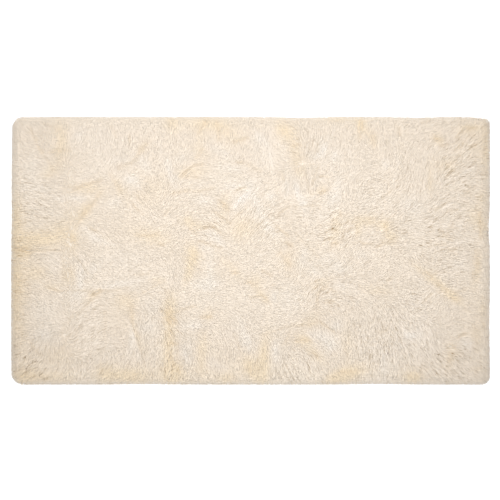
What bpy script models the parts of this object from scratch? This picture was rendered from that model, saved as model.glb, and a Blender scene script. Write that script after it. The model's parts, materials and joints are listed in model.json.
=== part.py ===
"""A cream shag rug, 90 by 160 cm, lying flat on a floor.

The rug is one solid. Its underside is the flat back of the tufted cloth. Its upper side is the pile,
combed over in clumps a few centimetres across, with longer partings and ridges where the combing
changes. Round the rim the pile falls outward to the floor in separate pointed locks.

Metres, with +X along the length, +Y across it and +Z up. The origin is the middle of the underside.
"""
import math
import random
from collections import namedtuple

import bmesh
import bpy
from mathutils import Vector

# Overall size, tip to tip of the rim locks.
LENGTH = 1.600
WIDTH = 0.895

# Corner radii of the outline, by the signs of x and y.
CORNER_RADII = {(-1, 1): 0.040, (1, 1): 0.018, (-1, -1): 0.043, (1, -1): 0.029}
SMALLEST_RADIUS = 0.006

# Clumps of pile over the upper side, one to a cell of the grid.
CLUMPS_LONG = 48
CLUMPS_WIDE = 26
CLUMP_SHIFT = 0.33          # how far a cell's corners stray, as a share of the cell
CLUMP_LEAN = 0.26           # how far a clump's top is combed over, as a share of the cell
PITCH_LONG = LENGTH / CLUMPS_LONG
PITCH_WIDE = WIDTH / CLUMPS_WIDE

# Heights over the floor.
VALLEY_HEIGHT = 0.0255      # between two clumps
VALLEY_SPREAD = 0.0050      # either way, so that some neighbours run together
CLUMP_HEIGHT = 0.0325       # at the top of a clump
CLUMP_SPREAD = 0.0030       # either way
LOWEST_PILE = 0.014
HIGHEST_PILE = 0.038

# The rim, from the pile outward: the last row of clumps, the shoulder, and the foot of the slab.
EDGE_INSET = 0.034
EDGE_HEIGHT = 0.0275
SHOULDER_INSET = 0.019
SHOULDER_HEIGHT = 0.0195
SHOULDER_SPREAD = 0.0025    # either way, in height and in reach
FOOT_INSET = 0.017

# The locks. Each is as wide as its share of the rim at the root, and lies level on the floor.
LOCK_BEND_INSET = 0.0085    # where a lock turns down
LOCK_BEND_HEIGHT = 0.0125
LOCK_BEND_WIDTH = 0.68      # as a share of the root's width
LOCK_SHORTEST = 0.0045      # how far the shortest lock stops inside the outline
LOCK_SWEEP = 0.0030         # how far a tip strays along the rim

SEED = 5

# Where the outline swells or draws in: the edge it is on, the place along it and how far it goes.
Swell = namedtuple("Swell", "side at reach spread")
SWELLS = (
    Swell("back", -0.690, 0.0000, 0.060),
    Swell("back", 0.167, -0.0030, 0.050),
    Swell("back", 0.300, -0.0002, 0.060),
    Swell("back", 0.550, -0.0025, 0.055),
    Swell("back", 0.790, -0.0060, 0.035),
    Swell("front", -0.350, -0.0015, 0.080),
    Swell("front", 0.420, -0.0015, 0.080),
    Swell("left", 0.420, -0.0030, 0.120),
    Swell("left", 0.120, -0.0015, 0.060),
    Swell("right", 0.075, -0.0040, 0.035),
    Swell("right", -0.240, -0.0020, 0.060),
)

# Partings are valleys and ridges are banks, each along a straight stretch from its start to its end.
Stretch = namedtuple("Stretch", "start_x start_y end_x end_y rise half_width")
STRETCHES = (
    # partings of the left half
    Stretch(-0.725, 0.400, -0.700, 0.350, -0.007, 0.014),
    Stretch(-0.700, 0.350, -0.650, 0.310, -0.008, 0.014),
    Stretch(-0.690, 0.250, -0.650, 0.250, -0.005, 0.014),
    Stretch(-0.545, 0.073, -0.510, 0.063, -0.006, 0.013),
    Stretch(-0.390, 0.200, -0.350, 0.155, -0.006, 0.014),
    Stretch(-0.240, 0.235, -0.200, 0.285, -0.009, 0.015),
    Stretch(-0.200, 0.285, -0.160, 0.400, -0.006, 0.014),
    Stretch(-0.250, 0.190, -0.130, 0.200, -0.006, 0.014),
    Stretch(-0.200, 0.060, -0.110, 0.070, -0.006, 0.013),
    Stretch(-0.110, 0.155, -0.080, 0.130, -0.006, 0.013),
    Stretch(-0.055, 0.355, -0.010, 0.370, -0.007, 0.013),
    Stretch(-0.570, -0.030, -0.540, -0.080, -0.006, 0.013),
    Stretch(-0.670, -0.130, -0.560, -0.137, -0.006, 0.014),
    Stretch(-0.530, -0.135, -0.515, -0.150, -0.006, 0.015),
    Stretch(-0.600, -0.385, -0.550, -0.370, -0.006, 0.013),
    Stretch(-0.300, -0.195, -0.100, -0.175, -0.006, 0.014),
    Stretch(-0.290, -0.220, -0.240, -0.280, -0.006, 0.014),
    Stretch(-0.270, -0.300, -0.265, -0.400, -0.006, 0.013),
    # partings of the right half
    Stretch(0.100, 0.140, 0.170, 0.190, -0.007, 0.014),
    Stretch(0.205, 0.290, 0.260, 0.205, -0.006, 0.015),
    Stretch(0.430, 0.180, 0.470, 0.200, -0.006, 0.013),
    Stretch(0.650, 0.270, 0.710, 0.340, -0.008, 0.015),
    Stretch(0.610, 0.130, 0.660, 0.170, -0.006, 0.013),
    Stretch(0.500, 0.045, 0.580, 0.055, -0.005, 0.013),
    Stretch(0.100, -0.255, 0.240, -0.235, -0.006, 0.014),
    Stretch(0.240, -0.235, 0.290, -0.280, -0.006, 0.014),
    Stretch(0.220, -0.160, 0.255, -0.125, -0.006, 0.013),
    Stretch(0.560, -0.175, 0.590, -0.150, -0.006, 0.013),
    Stretch(0.640, -0.125, 0.700, -0.125, -0.006, 0.013),
    # ridges
    Stretch(0.210, 0.300, 0.265, 0.370, 0.004, 0.016),
    Stretch(-0.350, 0.160, -0.310, 0.110, 0.004, 0.015),
    Stretch(-0.210, -0.300, -0.200, -0.380, 0.004, 0.015),
    Stretch(-0.050, -0.220, -0.045, -0.300, 0.004, 0.014),
    Stretch(0.335, 0.280, 0.340, 0.130, 0.004, 0.015),
    Stretch(0.465, 0.220, 0.500, 0.290, 0.004, 0.015),
    Stretch(-0.690, -0.190, -0.640, -0.210, 0.003, 0.022),
    Stretch(0.700, 0.250, 0.730, 0.340, 0.003, 0.018),
)


def in_order(items, place):
    """Sort items by their places, so that the seeded dice fall the same way in every build."""
    return sorted(items, key=lambda item: tuple(round(number, 5) for number in place(item)))


def swell_reach(side, at):
    """How far the outline moves outward at a place along one side."""
    reach = 0.0
    for swell in SWELLS:
        if swell.side == side:
            away = (at - swell.at) / swell.spread
            reach += swell.reach * math.exp(-0.5 * away * away)
    return reach


def rim_place(across_x, across_y, inset):
    """Turn a place on the unit square's rim into one on the outline, drawn in by the inset."""
    half_long = 0.5 * LENGTH - inset
    half_wide = 0.5 * WIDTH - inset
    sign_x = 1 if across_x > 0 else -1
    sign_y = 1 if across_y > 0 else -1
    radius = max(CORNER_RADII[(sign_x, sign_y)] - inset, SMALLEST_RADIUS)
    x = across_x * half_long
    y = across_y * half_wide
    centre_x = sign_x * (half_long - radius)
    centre_y = sign_y * (half_wide - radius)
    beyond_x = sign_x * (x - centre_x)
    beyond_y = sign_y * (y - centre_y)
    if beyond_x > 0 and beyond_y > 0:
        reach = radius / math.hypot(beyond_x, beyond_y)
        x = centre_x + sign_x * beyond_x * reach
        y = centre_y + sign_y * beyond_y * reach
    fade_x = abs(across_x) ** 24
    fade_y = abs(across_y) ** 24
    x += sign_x * fade_x * swell_reach("right" if sign_x > 0 else "left", y)
    y += sign_y * fade_y * swell_reach("back" if sign_y > 0 else "front", x)
    return x, y


def stretch_rise(x, y):
    """Height that the partings and ridges add at a place."""
    rise = 0.0
    for stretch in STRETCHES:
        run = Vector((stretch.end_x - stretch.start_x, stretch.end_y - stretch.start_y))
        from_start = Vector((x - stretch.start_x, y - stretch.start_y))
        share = min(max(from_start.dot(run) / run.length_squared, 0.0), 1.0)
        away = (from_start - share * run).length / stretch.half_width
        rise += stretch.rise * math.exp(-0.5 * away * away)
    return rise


def pile_height(x, y, base, spread, dice):
    """Height of the pile at a place: its base, the partings and ridges, and an uneven share."""
    height = base + stretch_rise(x, y) + dice.uniform(-spread, spread)
    return min(max(height, LOWEST_PILE), HIGHEST_PILE)


def comb_direction(x, y):
    """The way the pile lies at a place: swirling inside, and outward near the rim."""
    turn = 1.6 * math.sin(5.1 * x + 1.3) + 1.4 * math.sin(7.3 * y - 2.0 * x + 0.4)
    inner = Vector((math.cos(turn), math.sin(turn)))
    near_end = max(0.0, abs(x) / (0.5 * LENGTH) - 0.86) / 0.14
    near_side = max(0.0, abs(y) / (0.5 * WIDTH) - 0.82) / 0.18
    outward = Vector((math.copysign(near_end, x), math.copysign(near_side, y)))
    return (inner * max(0.0, 1.0 - near_end - near_side) + outward).normalized()


def lay_out_clumps(bm, dice):
    """Make the upper side: a grid of cells, each poked up into a clump that is combed over."""
    bmesh.ops.create_grid(bm, x_segments=CLUMPS_LONG, y_segments=CLUMPS_WIDE, size=1.0)
    rim_edges = [edge for edge in bm.edges if edge.is_boundary]
    bmesh.ops.bisect_edges(bm, edges=rim_edges, cuts=1)
    spot = bm.verts.layers.float_vector.new("spot")
    for vert in in_order(bm.verts, lambda vert: vert.co):
        vert[spot] = vert.co
        across_x, across_y = vert.co.x, vert.co.y
        if vert.is_boundary:
            x, y = rim_place(across_x, across_y, EDGE_INSET)
            vert.co = (x, y, pile_height(x, y, EDGE_HEIGHT, CLUMP_SPREAD, dice))
        else:
            x = across_x * (0.5 * LENGTH - EDGE_INSET)
            y = across_y * (0.5 * WIDTH - EDGE_INSET)
            x += dice.uniform(-CLUMP_SHIFT, CLUMP_SHIFT) * PITCH_LONG
            y += dice.uniform(-CLUMP_SHIFT, CLUMP_SHIFT) * PITCH_WIDE
            vert.co = (x, y, pile_height(x, y, VALLEY_HEIGHT, VALLEY_SPREAD, dice))
    poked = bmesh.ops.poke(bm, faces=list(bm.faces), center_mode="MEAN")
    for vert in in_order(poked["verts"], lambda vert: vert.co):
        lean = comb_direction(vert.co.x, vert.co.y)
        x = vert.co.x + lean.x * CLUMP_LEAN * PITCH_LONG
        y = vert.co.y + lean.y * CLUMP_LEAN * PITCH_WIDE
        vert.co = (x, y, pile_height(x, y, CLUMP_HEIGHT, CLUMP_SPREAD, dice))


def fall_to_floor(bm, inset, height, spread, dice):
    """Carry the open rim outward and down to a new, uneven ring, and return the ring's faces."""
    spot = bm.verts.layers.float_vector["spot"]
    rim_edges = [edge for edge in bm.edges if edge.is_boundary]
    grown = bmesh.ops.extrude_edge_only(bm, edges=rim_edges)["geom"]
    ring = [item for item in grown if isinstance(item, bmesh.types.BMVert)]
    for vert in in_order(ring, lambda vert: vert[spot]):
        ring_inset = inset + dice.uniform(-spread, spread)
        x, y = rim_place(vert[spot].x, vert[spot].y, ring_inset)
        vert.co = (x, y, height + dice.uniform(-spread, spread))
    return [item for item in grown if isinstance(item, bmesh.types.BMFace)]


def close_underside(bm):
    """Close the open foot of the slab with one flat face."""
    foot_edges = [edge for edge in bm.edges if edge.is_boundary]
    bmesh.ops.contextual_create(bm, geom=foot_edges)


def draw_locks(bm, wall, dice):
    """Draw each wall face out into a lock that narrows, turns down and ends in a point."""
    spot = bm.verts.layers.float_vector["spot"]
    caps = bmesh.ops.extrude_discrete_faces(bm, faces=wall)["faces"]
    tips = []
    for cap in in_order(caps, lambda cap: cap.calc_center_median()):
        middle = sum((vert[spot] for vert in cap.verts), Vector()) / len(cap.verts)
        bend_x, bend_y = rim_place(middle.x, middle.y, LOCK_BEND_INSET)
        tip_inset = dice.uniform(0.0, LOCK_SHORTEST)
        tip_x, tip_y = rim_place(middle.x, middle.y, tip_inset)
        root = cap.calc_center_median()
        ahead = Vector(rim_place(middle.x, middle.y, FOOT_INSET)) - Vector((bend_x, bend_y))
        width = LOCK_BEND_WIDTH * dice.uniform(0.85, 1.15)
        height = LOCK_BEND_HEIGHT * dice.uniform(0.80, 1.20)
        for vert in cap.verts:
            x = bend_x + width * (vert.co.x - root.x)
            y = bend_y + width * (vert.co.y - root.y)
            vert.co = (x, y, height if vert.co.z > 0.5 * SHOULDER_HEIGHT else 0.0)
        sweep = dice.uniform(-LOCK_SWEEP, LOCK_SWEEP)
        along = Vector((-ahead.y, ahead.x)).normalized()
        tips.append((cap, Vector((tip_x + sweep * along.x, tip_y + sweep * along.y, 0.0))))
    for cap, tip in tips:
        point = bmesh.ops.poke(bm, faces=[cap])["verts"][0]
        point.co = tip


def settle_at_origin(bm):
    """Move the solid so that the origin is the middle of its underside."""
    for axis in (0, 1):
        places = [vert.co[axis] for vert in bm.verts]
        shift = Vector((0.0, 0.0, 0.0))
        shift[axis] = -0.5 * (min(places) + max(places))
        bmesh.ops.translate(bm, verts=bm.verts, vec=shift)


def pile_material():
    """The cream yarn of the pile."""
    material = bpy.data.materials.new("cream_pile")
    material.use_nodes = True
    shader = material.node_tree.nodes["Principled BSDF"]
    shader.inputs["Base Color"].default_value = (0.84, 0.74, 0.61, 1.0)
    shader.inputs["Roughness"].default_value = 0.95
    shader.inputs["Metallic"].default_value = 0.0
    return material


def build_rug(collection):
    """Build the whole rug as one closed solid in the given collection."""
    dice = random.Random(SEED)
    bm = bmesh.new()
    lay_out_clumps(bm, dice)
    fall_to_floor(bm, SHOULDER_INSET, SHOULDER_HEIGHT, SHOULDER_SPREAD, dice)
    wall = fall_to_floor(bm, FOOT_INSET, 0.0, 0.0, dice)
    close_underside(bm)
    draw_locks(bm, wall, dice)
    settle_at_origin(bm)
    bmesh.ops.recalc_face_normals(bm, faces=bm.faces)
    mesh = bpy.data.meshes.new("shag_rug")
    bm.to_mesh(mesh)
    bm.free()
    mesh.materials.append(pile_material())
    rug = bpy.data.objects.new("shag_rug", mesh)
    collection.objects.link(rug)
    return rug


def main():
    """Clear the scene and build the rug."""
    for item in list(bpy.data.objects):
        bpy.data.objects.remove(item, do_unlink=True)
    collection = bpy.data.collections.new("Shag rug")
    bpy.context.scene.collection.children.link(collection)
    build_rug(collection)


main()
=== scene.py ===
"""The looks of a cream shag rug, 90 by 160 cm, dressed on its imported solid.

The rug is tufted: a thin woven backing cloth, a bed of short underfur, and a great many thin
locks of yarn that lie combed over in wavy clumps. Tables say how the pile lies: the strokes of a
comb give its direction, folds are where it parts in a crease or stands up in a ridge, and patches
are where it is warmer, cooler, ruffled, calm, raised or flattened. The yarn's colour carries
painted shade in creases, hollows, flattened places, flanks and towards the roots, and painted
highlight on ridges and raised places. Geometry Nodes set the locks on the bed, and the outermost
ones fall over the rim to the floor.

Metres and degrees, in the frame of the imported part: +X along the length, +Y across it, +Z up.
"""

import json
import logging
import math
from collections.abc import Callable
from dataclasses import dataclass, field
from enum import Enum, IntEnum
from typing import NamedTuple

import bmesh
import bpy
import numpy as np
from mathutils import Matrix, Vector
from mathutils.bvhtree import BVHTree

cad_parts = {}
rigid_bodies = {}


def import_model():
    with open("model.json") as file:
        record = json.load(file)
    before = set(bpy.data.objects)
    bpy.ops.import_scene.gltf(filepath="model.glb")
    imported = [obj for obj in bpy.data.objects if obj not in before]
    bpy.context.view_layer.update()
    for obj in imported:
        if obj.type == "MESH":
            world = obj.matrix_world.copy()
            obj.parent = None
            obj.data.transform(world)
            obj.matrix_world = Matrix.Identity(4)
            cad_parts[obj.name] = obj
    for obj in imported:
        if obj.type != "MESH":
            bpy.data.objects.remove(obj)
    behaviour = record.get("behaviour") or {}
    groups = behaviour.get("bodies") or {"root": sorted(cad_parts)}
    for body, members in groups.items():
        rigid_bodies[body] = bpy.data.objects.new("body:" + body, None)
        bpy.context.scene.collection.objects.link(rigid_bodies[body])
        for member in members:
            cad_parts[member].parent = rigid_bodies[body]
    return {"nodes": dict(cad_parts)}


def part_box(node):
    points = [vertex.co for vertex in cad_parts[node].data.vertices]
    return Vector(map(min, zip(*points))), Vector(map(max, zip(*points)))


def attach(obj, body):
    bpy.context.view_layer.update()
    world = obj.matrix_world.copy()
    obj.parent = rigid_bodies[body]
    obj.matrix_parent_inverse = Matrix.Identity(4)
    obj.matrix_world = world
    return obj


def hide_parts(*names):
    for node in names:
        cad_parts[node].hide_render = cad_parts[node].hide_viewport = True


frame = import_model()

log = logging.getLogger("shag_rug")

Colour = tuple[float, float, float]
Socket = bpy.types.NodeSocket

NODE = "shag_rug"
BODY = "root"
BAKE_MAP = "OFBake"
MAP_SPAN = 2.1              # how many half lengths of the rug a bake map from above takes in
CELL_MARGIN = 0.1           # the bare edge of a lock's cell in the bake map, as a share of the cell
WHITE = (1.0, 1.0, 1.0)


class Side(Enum):
    """The four sides of the rug, seen from above with +Y at the back."""

    BACK = "back"
    FRONT = "front"
    LEFT = "left"
    RIGHT = "right"


class Draw(IntEnum):
    """The seed of each random draw, one for each thing that differs from lock to lock."""

    TURN = 11
    SIZE = 12
    SHAPE = 13
    SHADE = 14
    SINK = 15
    RISE = 16


class Swell(NamedTuple):
    """A stretch of the outline that draws in: its side, place, depth and spread."""

    side: Side
    at: float
    reach: float
    spread: float


class CombStroke(NamedTuple):
    """One stroke of the comb: where it was made, its bearing in degrees and how far it acts."""

    x: float
    y: float
    bearing: float
    reach: float


class Fold(NamedTuple):
    """A ridge of the pile, with a rise above 0, or a crease in it, with one below 0."""

    start_x: float
    start_y: float
    end_x: float
    end_y: float
    rise: float
    half_width: float = 0.005


class Patch(NamedTuple):
    """An oval of the pile that differs from the rest by some amount."""

    x: float
    y: float
    half_long: float
    half_wide: float
    bearing: float
    amount: float


SWELLS = (
    Swell(Side.BACK, 0.167, -0.0030, 0.050),
    Swell(Side.BACK, 0.300, -0.0002, 0.060),
    Swell(Side.BACK, 0.550, -0.0025, 0.055),
    Swell(Side.BACK, 0.790, -0.0060, 0.035),
    Swell(Side.FRONT, -0.350, -0.0015, 0.080),
    Swell(Side.FRONT, 0.420, -0.0015, 0.080),
    Swell(Side.LEFT, 0.420, -0.0030, 0.120),
    Swell(Side.LEFT, 0.120, -0.0015, 0.060),
    Swell(Side.RIGHT, 0.075, -0.0040, 0.035),
    Swell(Side.RIGHT, -0.240, -0.0020, 0.060),
)

COMB_STROKES = tuple(CombStroke(*row) for row in (
    # the left end, combed outward
    (-0.77, 0.38, 150, 0.04), (-0.77, 0.28, 176, 0.05), (-0.77, 0.16, 182, 0.05),
    (-0.77, 0.04, 178, 0.05), (-0.77, -0.08, 182, 0.05), (-0.77, -0.2, 178, 0.05),
    (-0.77, -0.31, 190, 0.05), (-0.76, -0.4, 215, 0.04),
    # the back of the left third
    (-0.73, 0.41, 120, 0.03), (-0.735, 0.36, 160, 0.03), (-0.66, 0.42, 130, 0.03),
    (-0.68, 0.36, -38, 0.03), (-0.71, 0.3, 165, 0.04), (-0.66, 0.28, 175, 0.03),
    (-0.7, 0.21, 178, 0.04), (-0.64, 0.24, 180, 0.03), (-0.69, 0.15, 155, 0.03),
    (-0.65, 0.12, 158, 0.03), (-0.7, 0.06, 185, 0.03), (-0.64, 0.07, 215, 0.03),
    (-0.62, 0.33, 95, 0.03), (-0.58, 0.37, 80, 0.035), (-0.6, 0.42, 70, 0.03),
    (-0.57, 0.31, 35, 0.025), (-0.55, 0.25, 5, 0.04), (-0.54, 0.18, 8, 0.035),
    (-0.58, 0.06, 60, 0.02), (-0.53, 0.07, -20, 0.025), (-0.47, 0.03, -35, 0.03),
    (-0.48, 0.38, 88, 0.04), (-0.47, 0.31, 86, 0.035), (-0.44, 0.25, 60, 0.025),
    (-0.45, 0.12, 0, 0.035), (-0.41, 0.21, 45, 0.02), (-0.4, 0.27, 4, 0.03),
    (-0.4, 0.36, 95, 0.03), (-0.37, 0.17, -50, 0.025), (-0.33, 0.13, -52, 0.02),
    (-0.4, 0.06, 5, 0.04), (-0.33, 0.3, 88, 0.04), (-0.35, 0.4, 100, 0.04),
    # the back of the middle third
    (-0.3, 0.36, 92, 0.035), (-0.26, 0.4, 80, 0.03), (-0.26, 0.31, 78, 0.025),
    (-0.265, 0.26, 100, 0.02), (-0.23, 0.25, 35, 0.02), (-0.2, 0.37, 70, 0.03),
    (-0.15, 0.37, 84, 0.03), (-0.15, 0.26, 0, 0.04), (-0.28, 0.17, 60, 0.03),
    (-0.22, 0.15, 32, 0.025), (-0.17, 0.17, 12, 0.025), (-0.13, 0.14, -18, 0.025),
    (-0.1, 0.12, -45, 0.025), (-0.18, 0.1, 0, 0.025), (-0.15, 0.04, -20, 0.03),
    (-0.27, 0.06, 40, 0.03), (-0.08, 0.39, 90, 0.04), (-0.05, 0.26, 6, 0.035),
    (-0.02, 0.34, 80, 0.03), (-0.07, 0.2, 30, 0.025), (-0.02, 0.13, 62, 0.035),
    (0.03, 0.05, 48, 0.03), (0.03, 0.38, 95, 0.04), (0.05, 0.31, 75, 0.035),
    (0.03, 0.22, 25, 0.03), (0.12, 0.37, 165, 0.03), (0.1, 0.3, 180, 0.025),
    (0.11, 0.24, 238, 0.02), (0.15, 0.22, 268, 0.025), (0.185, 0.24, 255, 0.02),
    (0.16, 0.155, 2, 0.025), (0.1, 0.1, 10, 0.03), (0.15, 0.06, -12, 0.035),
    (0.21, 0.12, -15, 0.02), (0.25, 0.13, 25, 0.025), (0.22, 0.05, 15, 0.03),
    # the back of the right third
    (0.21, 0.39, 88, 0.03), (0.24, 0.34, 58, 0.025), (0.28, 0.39, 80, 0.03),
    (0.25, 0.27, 38, 0.025), (0.28, 0.23, 45, 0.025), (0.33, 0.3, 95, 0.03),
    (0.34, 0.19, 92, 0.03), (0.35, 0.4, 90, 0.04), (0.38, 0.31, 2, 0.03), (0.38, 0.13, 12, 0.03),
    (0.3, 0.07, 48, 0.03), (0.4, 0.22, 15, 0.03), (0.43, 0.37, 91, 0.04), (0.47, 0.33, 85, 0.03),
    (0.47, 0.24, 55, 0.03), (0.43, 0.16, 25, 0.025), (0.4, 0.06, 20, 0.04),
    (0.53, 0.38, 42, 0.035), (0.54, 0.3, 75, 0.035), (0.56, 0.21, 82, 0.035),
    (0.5, 0.17, 60, 0.03), (0.47, 0.11, 45, 0.03), (0.55, 0.1, 12, 0.03), (0.53, 0.05, 3, 0.03),
    (0.61, 0.37, 30, 0.025), (0.66, 0.37, 42, 0.03), (0.68, 0.3, 46, 0.03), (0.71, 0.36, 55, 0.03),
    (0.61, 0.27, 85, 0.025), (0.67, 0.23, 30, 0.03), (0.63, 0.17, 22, 0.02),
    (0.63, 0.12, 52, 0.025), (0.67, 0.09, 25, 0.025),
    # the right end, combed outward
    (0.77, 0.4, 50, 0.03), (0.77, 0.31, 18, 0.04), (0.77, 0.2, 2, 0.05), (0.77, 0.08, -3, 0.05),
    (0.77, -0.04, 4, 0.05), (0.77, -0.15, -18, 0.04), (0.77, -0.27, -8, 0.05),
    (0.77, -0.38, -35, 0.04), (0.72, 0.14, 5, 0.03), (0.7, 0.05, -10, 0.03),
    # the front of the left third
    (-0.7, -0.03, 215, 0.03), (-0.66, -0.06, 150, 0.03), (-0.7, -0.1, 160, 0.03),
    (-0.64, -0.13, 175, 0.025), (-0.67, -0.165, 138, 0.025), (-0.67, -0.215, 178, 0.03),
    (-0.7, -0.25, 185, 0.03), (-0.62, -0.24, 150, 0.02), (-0.56, -0.055, -50, 0.03),
    (-0.5, -0.08, -5, 0.03), (-0.45, -0.05, 12, 0.04), (-0.44, -0.15, 0, 0.04),
    (-0.56, -0.17, 35, 0.03), (-0.54, -0.22, 10, 0.025), (-0.55, -0.27, 50, 0.03),
    (-0.5, -0.29, 25, 0.03), (-0.56, -0.33, 45, 0.03), (-0.72, -0.33, 255, 0.03),
    (-0.66, -0.32, 275, 0.03), (-0.66, -0.39, 240, 0.03), (-0.58, -0.4, 255, 0.03),
    (-0.5, -0.37, 228, 0.03), (-0.45, -0.29, 30, 0.03), (-0.42, -0.37, 245, 0.04),
    # the front of the middle third
    (-0.37, -0.05, -8, 0.035), (-0.32, -0.1, 28, 0.025), (-0.36, -0.15, 0, 0.03),
    (-0.26, -0.06, -75, 0.03), (-0.27, -0.12, -60, 0.02), (-0.2, -0.11, -28, 0.02),
    (-0.22, -0.14, 30, 0.02), (-0.18, -0.155, 0, 0.03), (-0.1, -0.13, 2, 0.04),
    (-0.12, -0.05, 0, 0.035), (-0.16, -0.2, 0, 0.025), (-0.18, -0.25, -15, 0.025),
    (-0.27, -0.23, -48, 0.025), (-0.33, -0.24, -88, 0.035), (-0.34, -0.34, -92, 0.04),
    (-0.28, -0.36, -95, 0.03), (-0.205, -0.34, -86, 0.02), (-0.17, -0.36, -60, 0.025),
    (-0.24, -0.36, 235, 0.025), (-0.1, -0.23, -18, 0.025), (-0.08, -0.28, -50, 0.025),
    (-0.052, -0.26, -88, 0.02), (-0.025, -0.25, -45, 0.025), (-0.02, -0.3, -58, 0.025),
    (-0.08, -0.37, -90, 0.035), (0.04, -0.05, 20, 0.03), (0.05, -0.13, 5, 0.035),
    (0.05, -0.21, -8, 0.035), (0.12, -0.24, 18, 0.03), (0.13, -0.05, 80, 0.025),
    (0.15, -0.14, 30, 0.03), (0.2, -0.15, 78, 0.025), (0.25, -0.16, 25, 0.025),
    (0.27, -0.19, -42, 0.025), (0.22, -0.26, -65, 0.02), (0.27, -0.25, -58, 0.025),
    (0.24, -0.32, -20, 0.025), (0.14, -0.32, -20, 0.025), (0.09, -0.32, -105, 0.025),
    (0.04, -0.36, -95, 0.03), (0.16, -0.38, -65, 0.03), (0.25, -0.38, -65, 0.03),
    # the front of the right third
    (0.3, -0.11, 8, 0.03), (0.32, -0.04, 60, 0.03), (0.36, -0.14, -14, 0.035),
    (0.36, -0.24, -95, 0.035), (0.36, -0.34, -88, 0.04), (0.44, -0.26, -80, 0.035),
    (0.46, -0.36, -92, 0.04), (0.45, -0.05, 44, 0.035), (0.51, -0.09, 20, 0.025),
    (0.47, -0.13, 0, 0.025), (0.54, -0.04, -40, 0.03), (0.53, -0.14, -25, 0.025),
    (0.57, -0.16, 50, 0.02), (0.58, -0.205, 15, 0.02), (0.54, -0.24, -35, 0.025),
    (0.53, -0.29, -40, 0.025), (0.62, -0.19, 75, 0.02), (0.63, -0.03, 35, 0.03),
    (0.66, -0.08, 12, 0.03), (0.68, -0.13, 2, 0.025), (0.71, -0.17, -15, 0.03),
    (0.66, -0.23, 65, 0.03), (0.71, -0.25, -35, 0.025), (0.6, -0.28, -80, 0.03),
    (0.67, -0.31, 40, 0.025), (0.66, -0.37, -45, 0.03), (0.72, -0.34, -60, 0.03),
    (0.55, -0.37, -55, 0.03),
))

# Each fold raises or parts the pile, and the yarn also paints it: painted shade in a crease,
# painted highlight on a ridge.
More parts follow.
